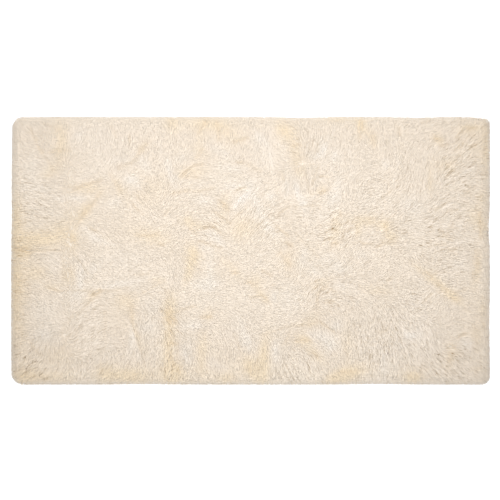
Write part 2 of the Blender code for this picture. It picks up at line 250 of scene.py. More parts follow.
FOLDS = tuple(Fold(*row) for row in (
    # creases of the left third
    (-0.724, 0.4, -0.696, 0.344, -0.7), (-0.696, 0.344, -0.682, 0.322, -1.0, 0.006),
    (-0.682, 0.322, -0.646, 0.266, -0.6), (-0.682, 0.322, -0.602, 0.325, -0.6, 0.006),
    (-0.69, 0.419, -0.624, 0.388, -0.4), (-0.688, 0.252, -0.646, 0.247, -0.5),
    (-0.6, 0.202, -0.504, 0.233, -0.7, 0.008), (-0.507, 0.188, -0.574, 0.105, -0.6, 0.01),
    (-0.574, 0.105, -0.596, 0.016, -0.5, 0.008), (-0.54, 0.077, -0.518, 0.066, -0.8),
    (-0.774, 0.01, -0.729, 0.002, -1.0, 0.008), (-0.646, 0.005, -0.624, 0.002, -0.9),
    (-0.72, 0.004, -0.61, 0.002, -0.4), (-0.596, 0.0, -0.568, -0.034, -0.5, 0.004),
    (-0.568, -0.034, -0.546, -0.073, -0.5, 0.004), (-0.618, -0.023, -0.607, -0.095, -0.35, 0.008),
    (-0.668, -0.123, -0.629, -0.137, -0.8), (-0.629, -0.137, -0.529, -0.139, -0.7),
    (-0.535, -0.15, -0.507, -0.134, -1.0, 0.008), (-0.535, -0.167, -0.563, -0.192, -0.7),
    (-0.563, -0.192, -0.613, -0.262, -0.5, 0.006), (-0.613, -0.262, -0.624, -0.317, -0.4, 0.006),
    (-0.507, -0.131, -0.468, -0.134, -0.6), (-0.468, -0.134, -0.42, -0.123, -0.4),
    (-0.474, 0.249, -0.44, 0.194, -0.4, 0.006), (-0.463, 0.405, -0.446, 0.366, -0.5, 0.007),
    (-0.402, 0.372, -0.402, 0.344, -0.8), (-0.346, 0.344, -0.385, 0.299, -0.5, 0.009),
    (-0.385, 0.299, -0.446, 0.266, -0.5, 0.007), (-0.385, 0.188, -0.352, 0.155, -0.7, 0.004),
    (-0.402, 0.161, -0.38, 0.138, -0.7, 0.004), (-0.296, 0.116, -0.28, 0.127, -0.9),
    (-0.39, 0.049, -0.313, 0.049, -0.5), (-0.313, 0.016, -0.296, 0.016, -0.9),
    (-0.391, -0.078, -0.346, -0.078, -0.5), (-0.368, -0.139, -0.313, -0.112, -0.5),
    (-0.402, -0.178, -0.4, -0.228, -0.6, 0.009), (-0.398, -0.235, -0.374, -0.284, -0.4, 0.004),
    (-0.374, -0.284, -0.346, -0.39, -0.4, 0.004), (-0.302, -0.19, -0.274, -0.198, -0.8, 0.007),
    (-0.491, -0.2, -0.491, -0.4, -0.35), (-0.724, -0.301, -0.696, -0.339, -0.7),
    (-0.602, -0.39, -0.557, -0.368, -0.5), (-0.557, -0.368, -0.518, -0.368, -0.5),
    (-0.696, -0.412, -0.663, -0.418, -0.6), (-0.694, 0.172, -0.668, 0.166, -0.7, 0.004),
    (-0.7, 0.108, -0.664, 0.108, -0.7, 0.004),
    # creases of the middle third
    (-0.24, 0.238, -0.196, 0.283, -1.0), (-0.196, 0.283, -0.168, 0.286, -0.7),
    (-0.234, 0.241, -0.168, 0.241, -0.5), (-0.262, 0.184, -0.215, 0.196, -0.7, 0.007),
    (-0.198, 0.193, -0.129, 0.207, -0.5, 0.008), (-0.19, 0.305, -0.162, 0.333, -0.5),
    (-0.179, 0.377, -0.151, 0.416, -0.5, 0.007), (-0.151, 0.416, -0.148, 0.44, -0.7, 0.01),
    (-0.112, 0.416, -0.107, 0.36, -0.5, 0.009), (-0.057, 0.352, -0.01, 0.366, -1.0),
    (-0.057, 0.291, -0.032, 0.288, -0.9), (-0.057, 0.194, -0.026, 0.208, -0.8),
    (-0.018, 0.283, 0.027, 0.255, -0.4, 0.009), (-0.112, 0.166, -0.079, 0.138, -0.8, 0.007),
    (-0.134, 0.138, -0.079, 0.094, -0.7), (-0.079, 0.094, -0.034, 0.122, -0.5),
    (-0.209, 0.072, -0.19, 0.055, -0.9), (-0.17, 0.077, -0.134, 0.08, -0.9),
    (-0.134, 0.08, -0.107, 0.063, -0.9), (-0.179, 0.033, -0.107, 0.01, -0.6),
    (0.016, 0.077, 0.03, 0.083, -0.9), (0.077, 0.116, 0.116, 0.144, -0.6),
    (0.077, 0.077, 0.116, 0.05, -0.8), (0.116, 0.083, 0.216, -0.023, -0.4, 0.004),
    (0.11, 0.027, 0.127, 0.016, -0.6, 0.009), (0.088, -0.012, 0.127, -0.056, -0.5, 0.011),
    (0.138, 0.144, 0.199, 0.149, -0.5), (0.082, 0.244, 0.093, 0.205, -0.7),
    (0.11, 0.266, 0.116, 0.238, -0.7), (0.182, 0.272, 0.199, 0.194, -0.6),
    (0.216, 0.277, 0.204, 0.227, -0.7), (0.152, 0.344, 0.168, 0.344, -1.0),
    (0.221, 0.244, 0.254, 0.238, -0.8), (0.216, 0.183, 0.249, 0.194, -1.0),
    (0.243, 0.06, 0.266, 0.072, -0.8), (0.238, 0.033, 0.26, 0.038, -0.8),
    (0.027, -0.067, 0.06, -0.084, -0.8), (-0.073, -0.073, -0.051, -0.073, -0.8),
    (-0.023, -0.106, -0.007, -0.106, -0.9), (-0.009, -0.156, 0.027, -0.148, -0.7),
    (0.027, -0.148, 0.049, -0.167, -0.7), (-0.262, -0.198, -0.19, -0.182, -0.6, 0.006),
    (-0.173, -0.22, -0.14, -0.22, -0.7, 0.007), (-0.28, -0.215, -0.257, -0.234, -1.0, 0.009),
    (-0.266, -0.299, -0.244, -0.302, -1.0, 0.006), (-0.268, -0.339, -0.234, -0.395, -0.7, 0.007),
    (0.216, -0.228, 0.182, -0.245, -0.7), (0.17, -0.247, 0.116, -0.253, -0.5),
    (0.227, -0.228, 0.273, -0.262, -0.8), (0.027, -0.278, 0.116, -0.251, -0.4),
    (0.11, -0.301, 0.121, -0.267, -0.6), (0.143, -0.295, 0.182, -0.295, -0.8, 0.007),
    (0.155, -0.312, 0.232, -0.356, -0.7), (0.216, -0.195, 0.216, -0.15, -0.7),
    (0.216, -0.15, 0.243, -0.123, -0.7), (0.243, -0.123, 0.273, -0.139, -0.8),
    (0.243, -0.17, 0.266, -0.17, -0.9), (-0.062, -0.267, -0.04, -0.317, -0.5, 0.004),
    (-0.018, -0.378, 0.01, -0.395, -0.7, 0.007),
    # creases of the right third
    (0.366, 0.422, 0.36, 0.361, -0.5, 0.009), (0.405, 0.377, 0.405, 0.344, -0.5, 0.014),
    (0.486, 0.399, 0.491, 0.377, -0.7), (0.56, 0.416, 0.594, 0.427, -0.5),
    (0.605, 0.366, 0.627, 0.363, -1.0, 0.006), (0.616, 0.344, 0.65, 0.347, -0.6),
    (0.677, 0.369, 0.705, 0.402, -0.9), (0.705, 0.402, 0.744, 0.402, -0.8, 0.006),
    (0.672, 0.327, 0.7, 0.35, -0.9), (0.65, 0.272, 0.694, 0.311, -0.9),
    (0.722, 0.338, 0.738, 0.344, -0.8), (0.605, 0.127, 0.638, 0.15, -0.9),
    (0.644, 0.127, 0.672, 0.133, -0.6), (0.705, 0.188, 0.722, 0.211, -0.8),
    (0.427, 0.172, 0.461, 0.194, -0.7), (0.288, 0.127, 0.294, 0.111, -1.0, 0.006),
    (0.338, 0.105, 0.41, 0.105, -0.6), (0.438, 0.083, 0.444, 0.06, -0.9),
    (0.262, 0.019, 0.283, 0.019, -0.9), (0.36, 0.019, 0.394, 0.019, -1.0),
    (0.41, 0.01, 0.427, 0.022, -0.8), (0.427, 0.022, 0.472, 0.022, -0.8),
    (0.616, 0.069, 0.66, 0.033, -0.9), (0.65, 0.077, 0.677, 0.072, -0.6),
    (0.605, 0.016, 0.638, 0.019, -0.6), (0.65, 0.0, 0.672, 0.005, -0.8),
    (0.752, 0.13, 0.755, 0.044, -0.8, 0.007), (0.444, -0.1, 0.46, -0.092, -0.9),
    (0.572, -0.067, 0.594, -0.089, -0.8), (0.56, -0.178, 0.594, -0.15, -0.8),
    (0.61, -0.117, 0.672, -0.139, -0.6), (0.672, -0.139, 0.705, -0.128, -0.6),
    (0.427, -0.262, 0.455, -0.25, -0.8, 0.009), (0.677, -0.289, 0.705, -0.273, -1.0, 0.006),
    (0.66, -0.317, 0.672, -0.323, -1.0, 0.006), (0.65, -0.34, 0.684, -0.338, -0.7),
    (0.65, -0.356, 0.66, -0.356, -1.0, 0.006), (0.622, -0.373, 0.65, -0.395, -0.8),
    (0.533, -0.373, 0.583, -0.384, -0.6), (0.5, -0.362, 0.538, -0.384, -0.5),
    (0.294, -0.395, 0.372, -0.39, -0.8, 0.008), (0.733, -0.389, 0.76, -0.384, -0.7),
    (0.74, 0.0, 0.745, -0.06, -0.5, 0.012), (0.766, -0.24, 0.766, -0.26, -0.8),
    # ridges of the left third
    (-0.596, 0.227, -0.507, 0.272, 0.5, 0.01), (-0.507, 0.272, -0.452, 0.288, 0.5, 0.008),
    (-0.64, 0.166, -0.535, 0.177, 0.5, 0.012), (-0.591, 0.049, -0.568, 0.077, 1.0, 0.009),
    (-0.568, 0.077, -0.53, 0.049, 1.0, 0.009), (-0.53, 0.049, -0.463, 0.022, 0.9, 0.009),
    (-0.424, 0.238, -0.396, 0.227, 1.0, 0.01), (-0.396, 0.227, -0.38, 0.21, 0.9, 0.008),
    (-0.413, 0.194, -0.38, 0.149, 0.7, 0.004), (-0.38, 0.194, -0.34, 0.133, 0.6, 0.004),
    (-0.34, 0.133, -0.318, 0.1, 0.6, 0.006), (-0.274, 0.288, -0.268, 0.216, 0.8, 0.006),
    (-0.657, -0.073, -0.635, -0.056, 0.6, 0.014), (-0.713, -0.117, -0.674, -0.117, 0.6, 0.007),
    (-0.496, -0.123, -0.446, -0.109, 0.7, 0.006), (-0.446, -0.109, -0.313, -0.09, 0.5, 0.007),
    (-0.591, -0.25, -0.568, -0.234, 0.7, 0.009), (-0.396, -0.267, -0.368, -0.351, 0.7, 0.007),
    (-0.618, -0.406, -0.546, -0.395, 0.7, 0.009), (-0.557, -0.34, -0.52, -0.31, 0.4, 0.01),
    (-0.685, 0.155, -0.63, 0.116, 0.5, 0.004), (-0.302, 0.35, -0.299, 0.3, 0.5, 0.007),
    # ridges of the middle third
    (-0.262, 0.222, -0.24, 0.266, 0.9), (-0.24, 0.222, -0.168, 0.222, 0.6, 0.008),
    (-0.212, 0.166, -0.14, 0.161, 0.6, 0.009), (-0.196, 0.044, -0.112, 0.055, 0.7, 0.01),
    (-0.062, 0.144, -0.012, 0.183, 0.8, 0.012), (0.016, 0.194, 0.027, 0.244, 0.7, 0.007),
    (0.06, 0.175, 0.066, 0.15, 0.7, 0.009), (0.016, 0.388, 0.06, 0.333, 0.7, 0.009),
    (0.06, 0.333, 0.077, 0.277, 0.6, 0.008), (0.127, 0.194, 0.121, 0.238, 0.6),
    (0.143, 0.161, 0.166, 0.255, 0.9, 0.006), (0.149, 0.149, 0.199, 0.177, 1.0, 0.007),
    (0.21, 0.299, 0.243, 0.333, 1.0, 0.006), (0.243, 0.333, 0.273, 0.394, 1.0, 0.006),
    (0.227, 0.277, 0.273, 0.305, 0.7, 0.006), (0.01, -0.056, 0.027, -0.023, 1.0, 0.006),
    (-0.207, -0.106, -0.168, -0.123, 0.7), (-0.262, -0.176, -0.107, -0.16, 0.4, 0.014),
    (-0.223, -0.251, -0.179, -0.245, 0.6, 0.009), (-0.04, -0.228, -0.023, -0.262, 1.0, 0.006),
    (-0.023, -0.262, -0.007, -0.295, 0.9), (0.082, -0.317, 0.088, -0.345, 0.7, 0.013),
    (-0.218, -0.323, -0.196, -0.373, 0.6, 0.011), (0.116, -0.423, 0.193, -0.423, 0.5, 0.008),
    # ridges of the right third
    (0.472, 0.355, 0.483, 0.299, 0.8), (0.488, 0.288, 0.466, 0.216, 0.9),
    (0.572, 0.299, 0.575, 0.227, 0.7, 0.006), (0.327, 0.322, 0.338, 0.227, 0.5, 0.008),
    (0.6, 0.144, 0.633, 0.166, 1.0, 0.007), (0.622, 0.127, 0.655, 0.149, 0.8),
    (0.655, 0.149, 0.716, 0.222, 0.7), (0.633, 0.077, 0.65, 0.1, 0.9, 0.006),
    (0.66, 0.277, 0.7, 0.299, 1.0, 0.006), (0.7, 0.299, 0.722, 0.361, 0.9, 0.007),
    (0.65, 0.022, 0.733, 0.038, 0.6, 0.007), (0.51, 0.022, 0.55, -0.017, 0.5),
    (0.294, -0.115, 0.338, -0.123, 0.5, 0.011), (0.338, -0.123, 0.344, -0.167, 0.5, 0.009),
    (0.522, -0.15, 0.538, -0.195, 0.6, 0.006), (0.594, -0.328, 0.616, -0.295, 0.8, 0.009),
    (0.7, -0.3, 0.722, -0.3, 0.7, 0.014), (0.616, -0.095, 0.66, -0.112, 0.5, 0.007),
    (0.5, -0.206, 0.505, -0.289, 0.5, 0.008),
))

WARM_PATCHES = tuple(Patch(*row) for row in (
    (-0.772, 0.085, 0.09, 0.02, 90, 0.9), (-0.775, -0.1, 0.04, 0.02, 90, 0.9),
    (-0.772, -0.2, 0.06, 0.018, 90, 0.5), (-0.69, 0.04, 0.08, 0.022, 5, 0.9),
    (-0.745, 0.0, 0.02, 0.02, 0, 0.9), (-0.63, 0.35, 0.06, 0.02, 92, 0.7),
    (-0.655, 0.262, 0.025, 0.015, 30, 0.5), (-0.545, 0.205, 0.045, 0.018, 0, 0.6),
    (-0.562, 0.13, 0.04, 0.018, 50, 0.7), (-0.595, 0.03, 0.02, 0.012, 90, 0.7),
    (-0.62, 0.075, 0.025, 0.02, 0, 0.5), (-0.7, -0.075, 0.03, 0.025, 0, 0.6),
    (-0.603, -0.08, 0.035, 0.014, 90, 0.6), (-0.65, -0.122, 0.03, 0.014, 0, 0.4),
    (-0.53, -0.15, 0.04, 0.012, 35, 0.5), (-0.42, -0.165, 0.04, 0.028, 0, 0.6),
    (-0.382, -0.26, 0.06, 0.01, -65, 0.4), (-0.44, 0.2, 0.035, 0.013, -60, 0.5),
    (-0.365, 0.325, 0.035, 0.012, 50, 0.4), (-0.335, 0.045, 0.05, 0.022, -15, 0.6),
    (-0.32, -0.098, 0.022, 0.012, 0, 0.5), (-0.64, -0.34, 0.04, 0.03, 0, 0.4),
    (-0.74, -0.415, 0.035, 0.02, 0, 0.8), (-0.64, -0.412, 0.06, 0.016, 0, 0.5),
    (-0.48, -0.4, 0.03, 0.03, 0, 0.7), (-0.4, -0.408, 0.05, 0.022, 0, 1.0),
    (-0.275, -0.19, 0.045, 0.018, 90, 1.0), (-0.272, -0.3, 0.07, 0.018, 90, 0.9),
    (-0.255, -0.4, 0.035, 0.03, 60, 1.0), (-0.262, 0.42, 0.03, 0.02, 90, 0.7),
    (-0.345, 0.2, 0.06, 0.04, 0, 0.3), (-0.2, -0.01, 0.03, 0.02, 90, 0.9),
    (-0.21, -0.065, 0.045, 0.012, 75, 0.7), (-0.15, 0.415, 0.06, 0.02, 0, 0.6),
    (-0.08, 0.385, 0.05, 0.025, -30, 0.5), (-0.17, 0.35, 0.05, 0.02, 90, 0.4),
    (0.118, 0.395, 0.03, 0.022, -50, 0.9), (0.152, 0.33, 0.05, 0.016, -80, 0.6),
    (0.165, 0.27, 0.04, 0.018, 90, 0.4), (-0.18, 0.082, 0.04, 0.012, 0, 0.6),
    (-0.215, 0.1, 0.015, 0.014, 0, 0.6), (-0.095, 0.15, 0.015, 0.035, 0, 0.5),
    (-0.035, 0.065, 0.035, 0.03, 0, 0.6), (-0.065, -0.065, 0.045, 0.013, -45, 0.4),
    (0.01, -0.105, 0.02, 0.02, 0, 0.5), (0.03, -0.15, 0.03, 0.012, -45, 0.6),
    (0.122, -0.03, 0.04, 0.014, 90, 0.4), (0.045, -0.345, 0.06, 0.016, 90, 1.0),
    (0.01, -0.385, 0.045, 0.022, -60, 1.0), (-0.165, -0.33, 0.055, 0.014, 90, 0.6),
    (-0.15, -0.215, 0.025, 0.015, 60, 0.5), (0.172, -0.29, 0.028, 0.014, 0, 0.8),
    (0.205, -0.335, 0.035, 0.012, -40, 0.6), (0.19, -0.235, 0.04, 0.02, 30, 0.4),
    (-0.08, -0.415, 0.025, 0.018, 0, 0.6), (0.225, -0.11, 0.03, 0.014, 30, 0.4),
    (0.275, 0.065, 0.045, 0.018, 90, 0.6), (0.232, 0.197, 0.02, 0.012, 0, 0.6),
    (0.285, -0.415, 0.03, 0.016, 20, 1.0), (-0.205, 0.258, 0.05, 0.014, 10, 0.5),
    (0.365, 0.412, 0.025, 0.015, 90, 0.9), (0.29, 0.432, 0.04, 0.012, 0, 0.6),
    (0.395, 0.37, 0.03, 0.015, -60, 0.4), (0.375, 0.097, 0.045, 0.016, 0, 0.6),
    (0.437, 0.08, 0.018, 0.014, 0, 0.9), (0.457, 0.045, 0.02, 0.016, 0, 0.8),
    (0.348, 0.063, 0.01, 0.02, 0, 0.6), (0.593, 0.22, 0.035, 0.008, 90, 0.5),
    (0.64, 0.275, 0.035, 0.02, 0, 0.4), (0.615, 0.365, 0.02, 0.014, -40, 0.6),
    (0.775, 0.34, 0.07, 0.014, 90, 0.6), (0.722, 0.4, 0.03, 0.012, 0, 0.5),
    (0.752, 0.095, 0.045, 0.02, -50, 0.6), (0.76, 0.17, 0.03, 0.016, 90, 0.4),
    (0.615, -0.11, 0.075, 0.013, -42, 0.8), (0.668, -0.155, 0.025, 0.014, -20, 0.6),
    (0.742, -0.065, 0.05, 0.013, 80, 0.5), (0.415, -0.13, 0.04, 0.014, -10, 0.4),
    (0.325, -0.4, 0.055, 0.022, 20, 1.0), (0.536, -0.412, 0.022, 0.018, 0, 1.0),
    (0.655, -0.35, 0.035, 0.012, 90, 0.5), (0.74, -0.28, 0.03, 0.014, 90, 0.4),
    (0.762, -0.195, 0.03, 0.014, 90, 0.4), (0.32, -0.3, 0.06, 0.022, 90, 0.3),
    # the slow warmer cast of the ends and the front
    (-0.77, -0.16, 0.23, 0.04, 90, 0.3), (-0.11, -0.35, 0.08, 0.05, 0, 0.18),
    (-0.25, -0.41, 0.26, 0.04, 0, 0.2), (-0.71, -0.4, 0.08, 0.04, 0, 0.16),
    (0.12, -0.4, 0.14, 0.04, 0, 0.16), (0.52, -0.41, 0.06, 0.04, 0, 0.2),
    (0.74, 0.35, 0.09, 0.05, 90, 0.16), (-0.69, 0.03, 0.06, 0.07, 0, 0.16),
))

COOL_PATCHES = tuple(Patch(*row) for row in (
    (-0.4, 0.226, 0.022, 0.018, 0, 0.9), (-0.36, 0.285, 0.03, 0.013, -45, 0.7),
    (-0.43, 0.298, 0.03, 0.012, 0, 0.4), (-0.575, 0.37, 0.025, 0.014, 70, 0.5),
    (-0.5, 0.35, 0.06, 0.05, 0, 0.25), (-0.595, 0.172, 0.04, 0.01, 0, 0.5),
    (-0.46, 0.16, 0.03, 0.012, 20, 0.5), (-0.53, 0.045, 0.03, 0.013, -20, 0.6),
    (-0.573, -0.085, 0.045, 0.009, 85, 0.8), (-0.53, -0.055, 0.025, 0.013, 45, 0.6),
    (-0.44, -0.03, 0.06, 0.03, 0, 0.3), (-0.45, -0.112, 0.06, 0.014, 5, 0.5),
    (-0.59, -0.155, 0.025, 0.025, 0, 0.5), (-0.68, -0.275, 0.03, 0.018, 10, 0.7),
    (-0.68, -0.205, 0.05, 0.03, 0, 0.4), (-0.715, 0.285, 0.03, 0.016, 90, 0.4),
    (-0.7, 0.205, 0.05, 0.012, 0, 0.3), (-0.402, -0.29, 0.035, 0.01, 90, 0.7),
    (-0.34, -0.245, 0.03, 0.018, 0, 0.6), (-0.34, -0.18, 0.03, 0.022, 0, 0.4),
    (-0.65, -0.03, 0.03, 0.022, 0, 0.3), (-0.268, 0.252, 0.038, 0.012, -70, 0.7),
    (-0.48, -0.335, 0.02, 0.03, 0, 0.3), (-0.03, 0.165, 0.035, 0.014, 50, 1.0),
    (0.022, 0.132, 0.042, 0.014, -70, 0.8), (-0.01, 0.222, 0.018, 0.015, 0, 0.7),
    (-0.07, 0.21, 0.03, 0.01, 10, 0.6), (-0.07, 0.272, 0.04, 0.01, -8, 0.5),
    (-0.11, 0.325, 0.045, 0.012, -25, 0.6), (0.163, 0.17, 0.04, 0.011, -75, 0.9),
    (0.15, 0.222, 0.025, 0.009, 90, 0.6), (0.121, 0.222, 0.02, 0.008, 90, 0.6),
    (0.03, 0.362, 0.02, 0.02, 0, 0.6), (0.042, 0.31, 0.035, 0.04, 0, 0.35),
    (0.055, 0.07, 0.03, 0.01, -55, 0.8), (-0.125, 0.045, 0.04, 0.012, -40, 0.8),
    (-0.15, -0.11, 0.035, 0.018, 0, 1.0), (-0.142, -0.06, 0.04, 0.013, 90, 0.7),
    (0.068, -0.155, 0.018, 0.008, 90, 0.7), (0.12, -0.16, 0.035, 0.045, 0, 0.5),
    (0.168, -0.03, 0.04, 0.012, 85, 0.7), (0.2, -0.065, 0.03, 0.015, -60, 0.6),
    (-0.195, -0.24, 0.04, 0.016, 0, 0.6), (-0.212, -0.33, 0.04, 0.013, 90, 0.7),
    (-0.022, -0.29, 0.035, 0.013, -65, 0.7), (0.23, -0.28, 0.035, 0.016, -10, 0.9),
    (0.258, -0.31, 0.018, 0.014, 0, 1.0), (0.085, -0.32, 0.03, 0.01, 90, 0.6),
    (0.237, 0.335, 0.018, 0.012, 90, 0.7), (0.222, 0.308, 0.024, 0.01, 0, 0.6),
    (0.275, 0.31, 0.014, 0.016, 0, 0.6), (-0.162, 0.166, 0.02, 0.014, 0, 0.6),
    (-0.235, 0.298, 0.028, 0.012, 30, 0.5), (0.265, 0.165, 0.022, 0.026, 0, 0.8),
    (0.23, 0.115, 0.025, 0.018, 0, 0.4), (0.285, 0.21, 0.012, 0.035, 0, 0.5),
    (0.06, 0.178, 0.014, 0.014, 0, 0.6), (-0.16, 0.01, 0.022, 0.012, 0, 0.5),
    (0.245, -0.03, 0.03, 0.016, 0, 0.6), (-0.12, -0.37, 0.04, 0.018, -30, 0.4),
    (0.53, 0.14, 0.032, 0.028, 0, 0.5), (0.285, -0.065, 0.035, 0.015, 0, 0.7),
    (0.29, -0.118, 0.02, 0.012, 0, 0.5), (0.525, -0.275, 0.026, 0.01, 0, 0.7),
    (0.442, 0.28, 0.012, 0.014, 0, 0.6), (0.44, -0.37, 0.035, 0.008, 90, 0.5),
    (0.36, -0.02, 0.02, 0.016, 0, 0.4), (0.682, -0.047, 0.018, 0.012, 0, 0.6),
    (0.28, -0.238, 0.016, 0.014, 0, 0.8), (0.706, -0.312, 0.014, 0.016, 0, 0.6),
    (0.715, 0.26, 0.022, 0.016, 0, 0.4),
    # the slow cooler cast of the middle
    (0.21, 0.28, 0.16, 0.06, 0, 0.2), (-0.11, 0.24, 0.05, 0.04, 0, 0.22),
    (-0.47, 0.26, 0.12, 0.05, 0, 0.12), (-0.01, 0.17, 0.07, 0.04, 0, 0.16),
    (0.1, -0.01, 0.1, 0.05, 0, 0.16), (-0.06, -0.18, 0.12, 0.07, 0, 0.14),
    (-0.42, -0.12, 0.12, 0.06, 0, 0.12),
))

RUFFLED_PATCHES = tuple(Patch(*row) for row in (
    (0.37, 0.06, 0.13, 0.04, 0, 0.5), (0.27, 0.06, 0.03, 0.05, 0, 0.5),
    (0.6, 0.06, 0.1, 0.04, 0, 0.4), (0.7, 0.23, 0.16, 0.08, 90, 0.6),
    (0.44, 0.2, 0.05, 0.06, 90, 0.4), (-0.74, -0.36, 0.06, 0.06, 0, 0.9),
    (-0.69, 0.15, 0.06, 0.06, 0, 0.5), (-0.76, 0.0, 0.03, 0.2, 0, 0.4),
    (-0.545, -0.28, 0.045, 0.1, 0, 0.5), (-0.13, 0.07, 0.05, 0.04, 0, 0.4),
    (0.05, 0.1, 0.04, 0.06, 0, 0.4), (0.24, -0.13, 0.07, 0.05, 0, 0.4),
    (-0.27, -0.3, 0.03, 0.1, 0, 0.5), (0.44, -0.33, 0.1, 0.06, 0, 0.5),
    (0.66, -0.37, 0.08, 0.05, 0, 0.8), (0.64, -0.06, 0.06, 0.1, 0, 0.2),
    (0.51, -0.19, 0.06, 0.08, 0, 0.4), (0.17, -0.39, 0.06, 0.04, 0, 0.4),
    (0.18, 0.35, 0.06, 0.04, 0, 0.3),
))

LUMPS = tuple(Patch(*row) for row in (
    # raised places, also painted lighter as painted highlight
    (0.13, -0.4, 0.08, 0.045, 0, 1.1), (0.21, -0.35, 0.05, 0.06, 0, 0.25),
    (0.45, -0.36, 0.1, 0.06, 0, 0.64), (0.55, -0.27, 0.05, 0.07, 90, 0.62),
    (-0.55, -0.4, 0.06, 0.04, 0, 0.37), (-0.59, -0.24, 0.04, 0.05, 90, 0.19),
    (-0.03, -0.29, 0.06, 0.06, 0, 0.25), (0.05, -0.37, 0.05, 0.05, 0, 0.19),
    (0.38, 0.16, 0.07, 0.04, 0, 0.62), (0.53, 0.08, 0.04, 0.04, 0, 0.19),
    (0.21, 0.24, 0.06, 0.04, 0, 0.19), (-0.35, 0.39, 0.12, 0.04, 0, 0.25),
    (-0.51, 0.4, 0.04, 0.04, 0, 0.25), (-0.71, 0.26, 0.06, 0.05, 0, 0.19),
    (-0.59, -0.08, 0.04, 0.04, 0, 0.25), (0.05, -0.425, 0.6, 0.03, 0, 0.31),
    (0.45, -0.25, 0.15, 0.12, 0, 0.15), (0.29, 0.08, 0.05, 0.04, 0, 0.37),
    (0.57, 0.09, 0.09, 0.05, 0, 0.31), (0.6, 0.17, 0.06, 0.04, 0, 0.25),
    (-0.74, 0.21, 0.06, 0.06, 0, 0.42), (0.45, -0.4, 0.06, 0.04, 0, 0.25),
    (0.54, -0.2, 0.04, 0.07, 0, 0.42), (-0.67, 0.12, 0.05, 0.04, 0, 0.2),
    (0.61, -0.4, 0.04, 0.04, 0, 0.2),
    # flattened, deeper places, also painted darker as painted shade
    (0.74, 0.37, 0.06, 0.07, 90, -0.2), (0.77, 0.15, 0.16, 0.03, 90, -0.12),
    (0.13, -0.05, 0.06, 0.05, 90, -0.2), (-0.43, -0.24, 0.04, 0.05, 90, -0.2),
    (-0.76, -0.17, 0.18, 0.04, 90, -0.4), (-0.76, -0.38, 0.06, 0.05, 90, -0.22),
    (0.74, -0.27, 0.06, 0.06, 90, -0.25), (0.15, -0.01, 0.07, 0.04, 0, -0.14),
    (-0.43, -0.2, 0.06, 0.04, 90, -0.1), (-0.11, -0.08, 0.04, 0.04, 90, -0.16),
    (0.29, -0.34, 0.04, 0.04, 90, -0.16), (-0.7, -0.41, 0.08, 0.03, 0, -0.14),
    (0.77, -0.4, 0.04, 0.05, 90, -0.2), (0.77, -0.16, 0.05, 0.04, 90, -0.14),
    (-0.11, -0.24, 0.05, 0.04, 90, -0.1), (-0.7, 0.0, 0.06, 0.04, 0, -0.15),
    (-0.43, 0.08, 0.05, 0.04, 0, -0.1), (-0.19, -0.24, 0.06, 0.04, 0, -0.08),
))

CALM_PATCHES = tuple(Patch(*row) for row in (
    (-0.57, 0.4, 0.18, 0.08, 0, 0.8), (-0.25, 0.4, 0.16, 0.06, 0, 0.7),
    (-0.27, 0.34, 0.12, 0.06, 0, 0.5), (0.06, 0.31, 0.12, 0.06, 0, 0.4),
    (-0.49, 0.3, 0.14, 0.06, 0, 0.6), (-0.56, 0.19, 0.08, 0.06, 0, 0.9),
    (-0.1, 0.4, 0.04, 0.06, 0, 0.9), (-0.14, 0.26, 0.08, 0.06, 0, 0.7),
    (0.07, 0.38, 0.09, 0.07, 0, 0.6), (0.37, 0.33, 0.07, 0.14, 0, 0.7),
    (0.14, 0.22, 0.14, 0.07, 0, 0.4), (-0.44, 0.13, 0.06, 0.06, 0, 0.5),
    (-0.49, -0.02, 0.07, 0.04, 0, 0.5), (-0.23, -0.01, 0.04, 0.05, 0, 0.5),
    (-0.06, -0.03, 0.08, 0.05, 0, 0.7), (-0.09, -0.11, 0.05, 0.07, 0, 0.7),
    (0.15, -0.03, 0.08, 0.05, 0, 0.5), (-0.68, -0.22, 0.07, 0.06, 0, 0.7),
    (-0.42, -0.2, 0.06, 0.05, 0, 0.6), (-0.14, -0.28, 0.06, 0.08, 0, 0.9),
    (0.04, -0.24, 0.06, 0.07, 0, 0.6), (0.31, -0.38, 0.04, 0.04, 0, 0.7),
    (0.64, -0.24, 0.05, 0.05, 0, 0.3),
))


def mesh_from(bm: bmesh.types.BMesh, name: str) -> bpy.types.Mesh:
    """Keep a built form as a mesh, and free what it was built in.

    Args:
        bm: The form.
        name: The mesh's name.

    Returns:
        The mesh.
    """
    mesh = bpy.data.meshes.new(name)
    bm.to_mesh(mesh)
    bm.free()
    return mesh


def move_points(bm: bmesh.types.BMesh, moved: Callable[[np.ndarray], np.ndarray]) -> None:
    """Move all the points of a form at once.

    Args:
        bm: The form.
        moved: Gives the points' new places for their old ones.
    """
    points = np.array([vert.co for vert in bm.verts])
    for vert, point in zip(bm.verts, moved(points)):
        vert.co = point


def vectors_of(items: bpy.types.bpy_prop_collection, key: str) -> np.ndarray:
    """Read one vector from each item of a mesh's list.

    Args:
        items: The list, such as the mesh's vertices.
        key: The vector's name there.

    Returns:
        One row for each item.
    """
    flat = np.zeros(len(items) * 3, np.float32)
    items.foreach_get(key, flat)
    return flat.reshape(-1, 3)


def mesh_points(mesh: bpy.types.Mesh) -> np.ndarray:
    """Read a mesh's points, one row for each."""
    return vectors_of(mesh.vertices, "co").astype(float)


def place_points(mesh: bpy.types.Mesh, points: np.ndarray) -> None:
    """Put a mesh's points in new places."""
    mesh.vertices.foreach_set("co", points.astype(np.float32).ravel())
    mesh.update()


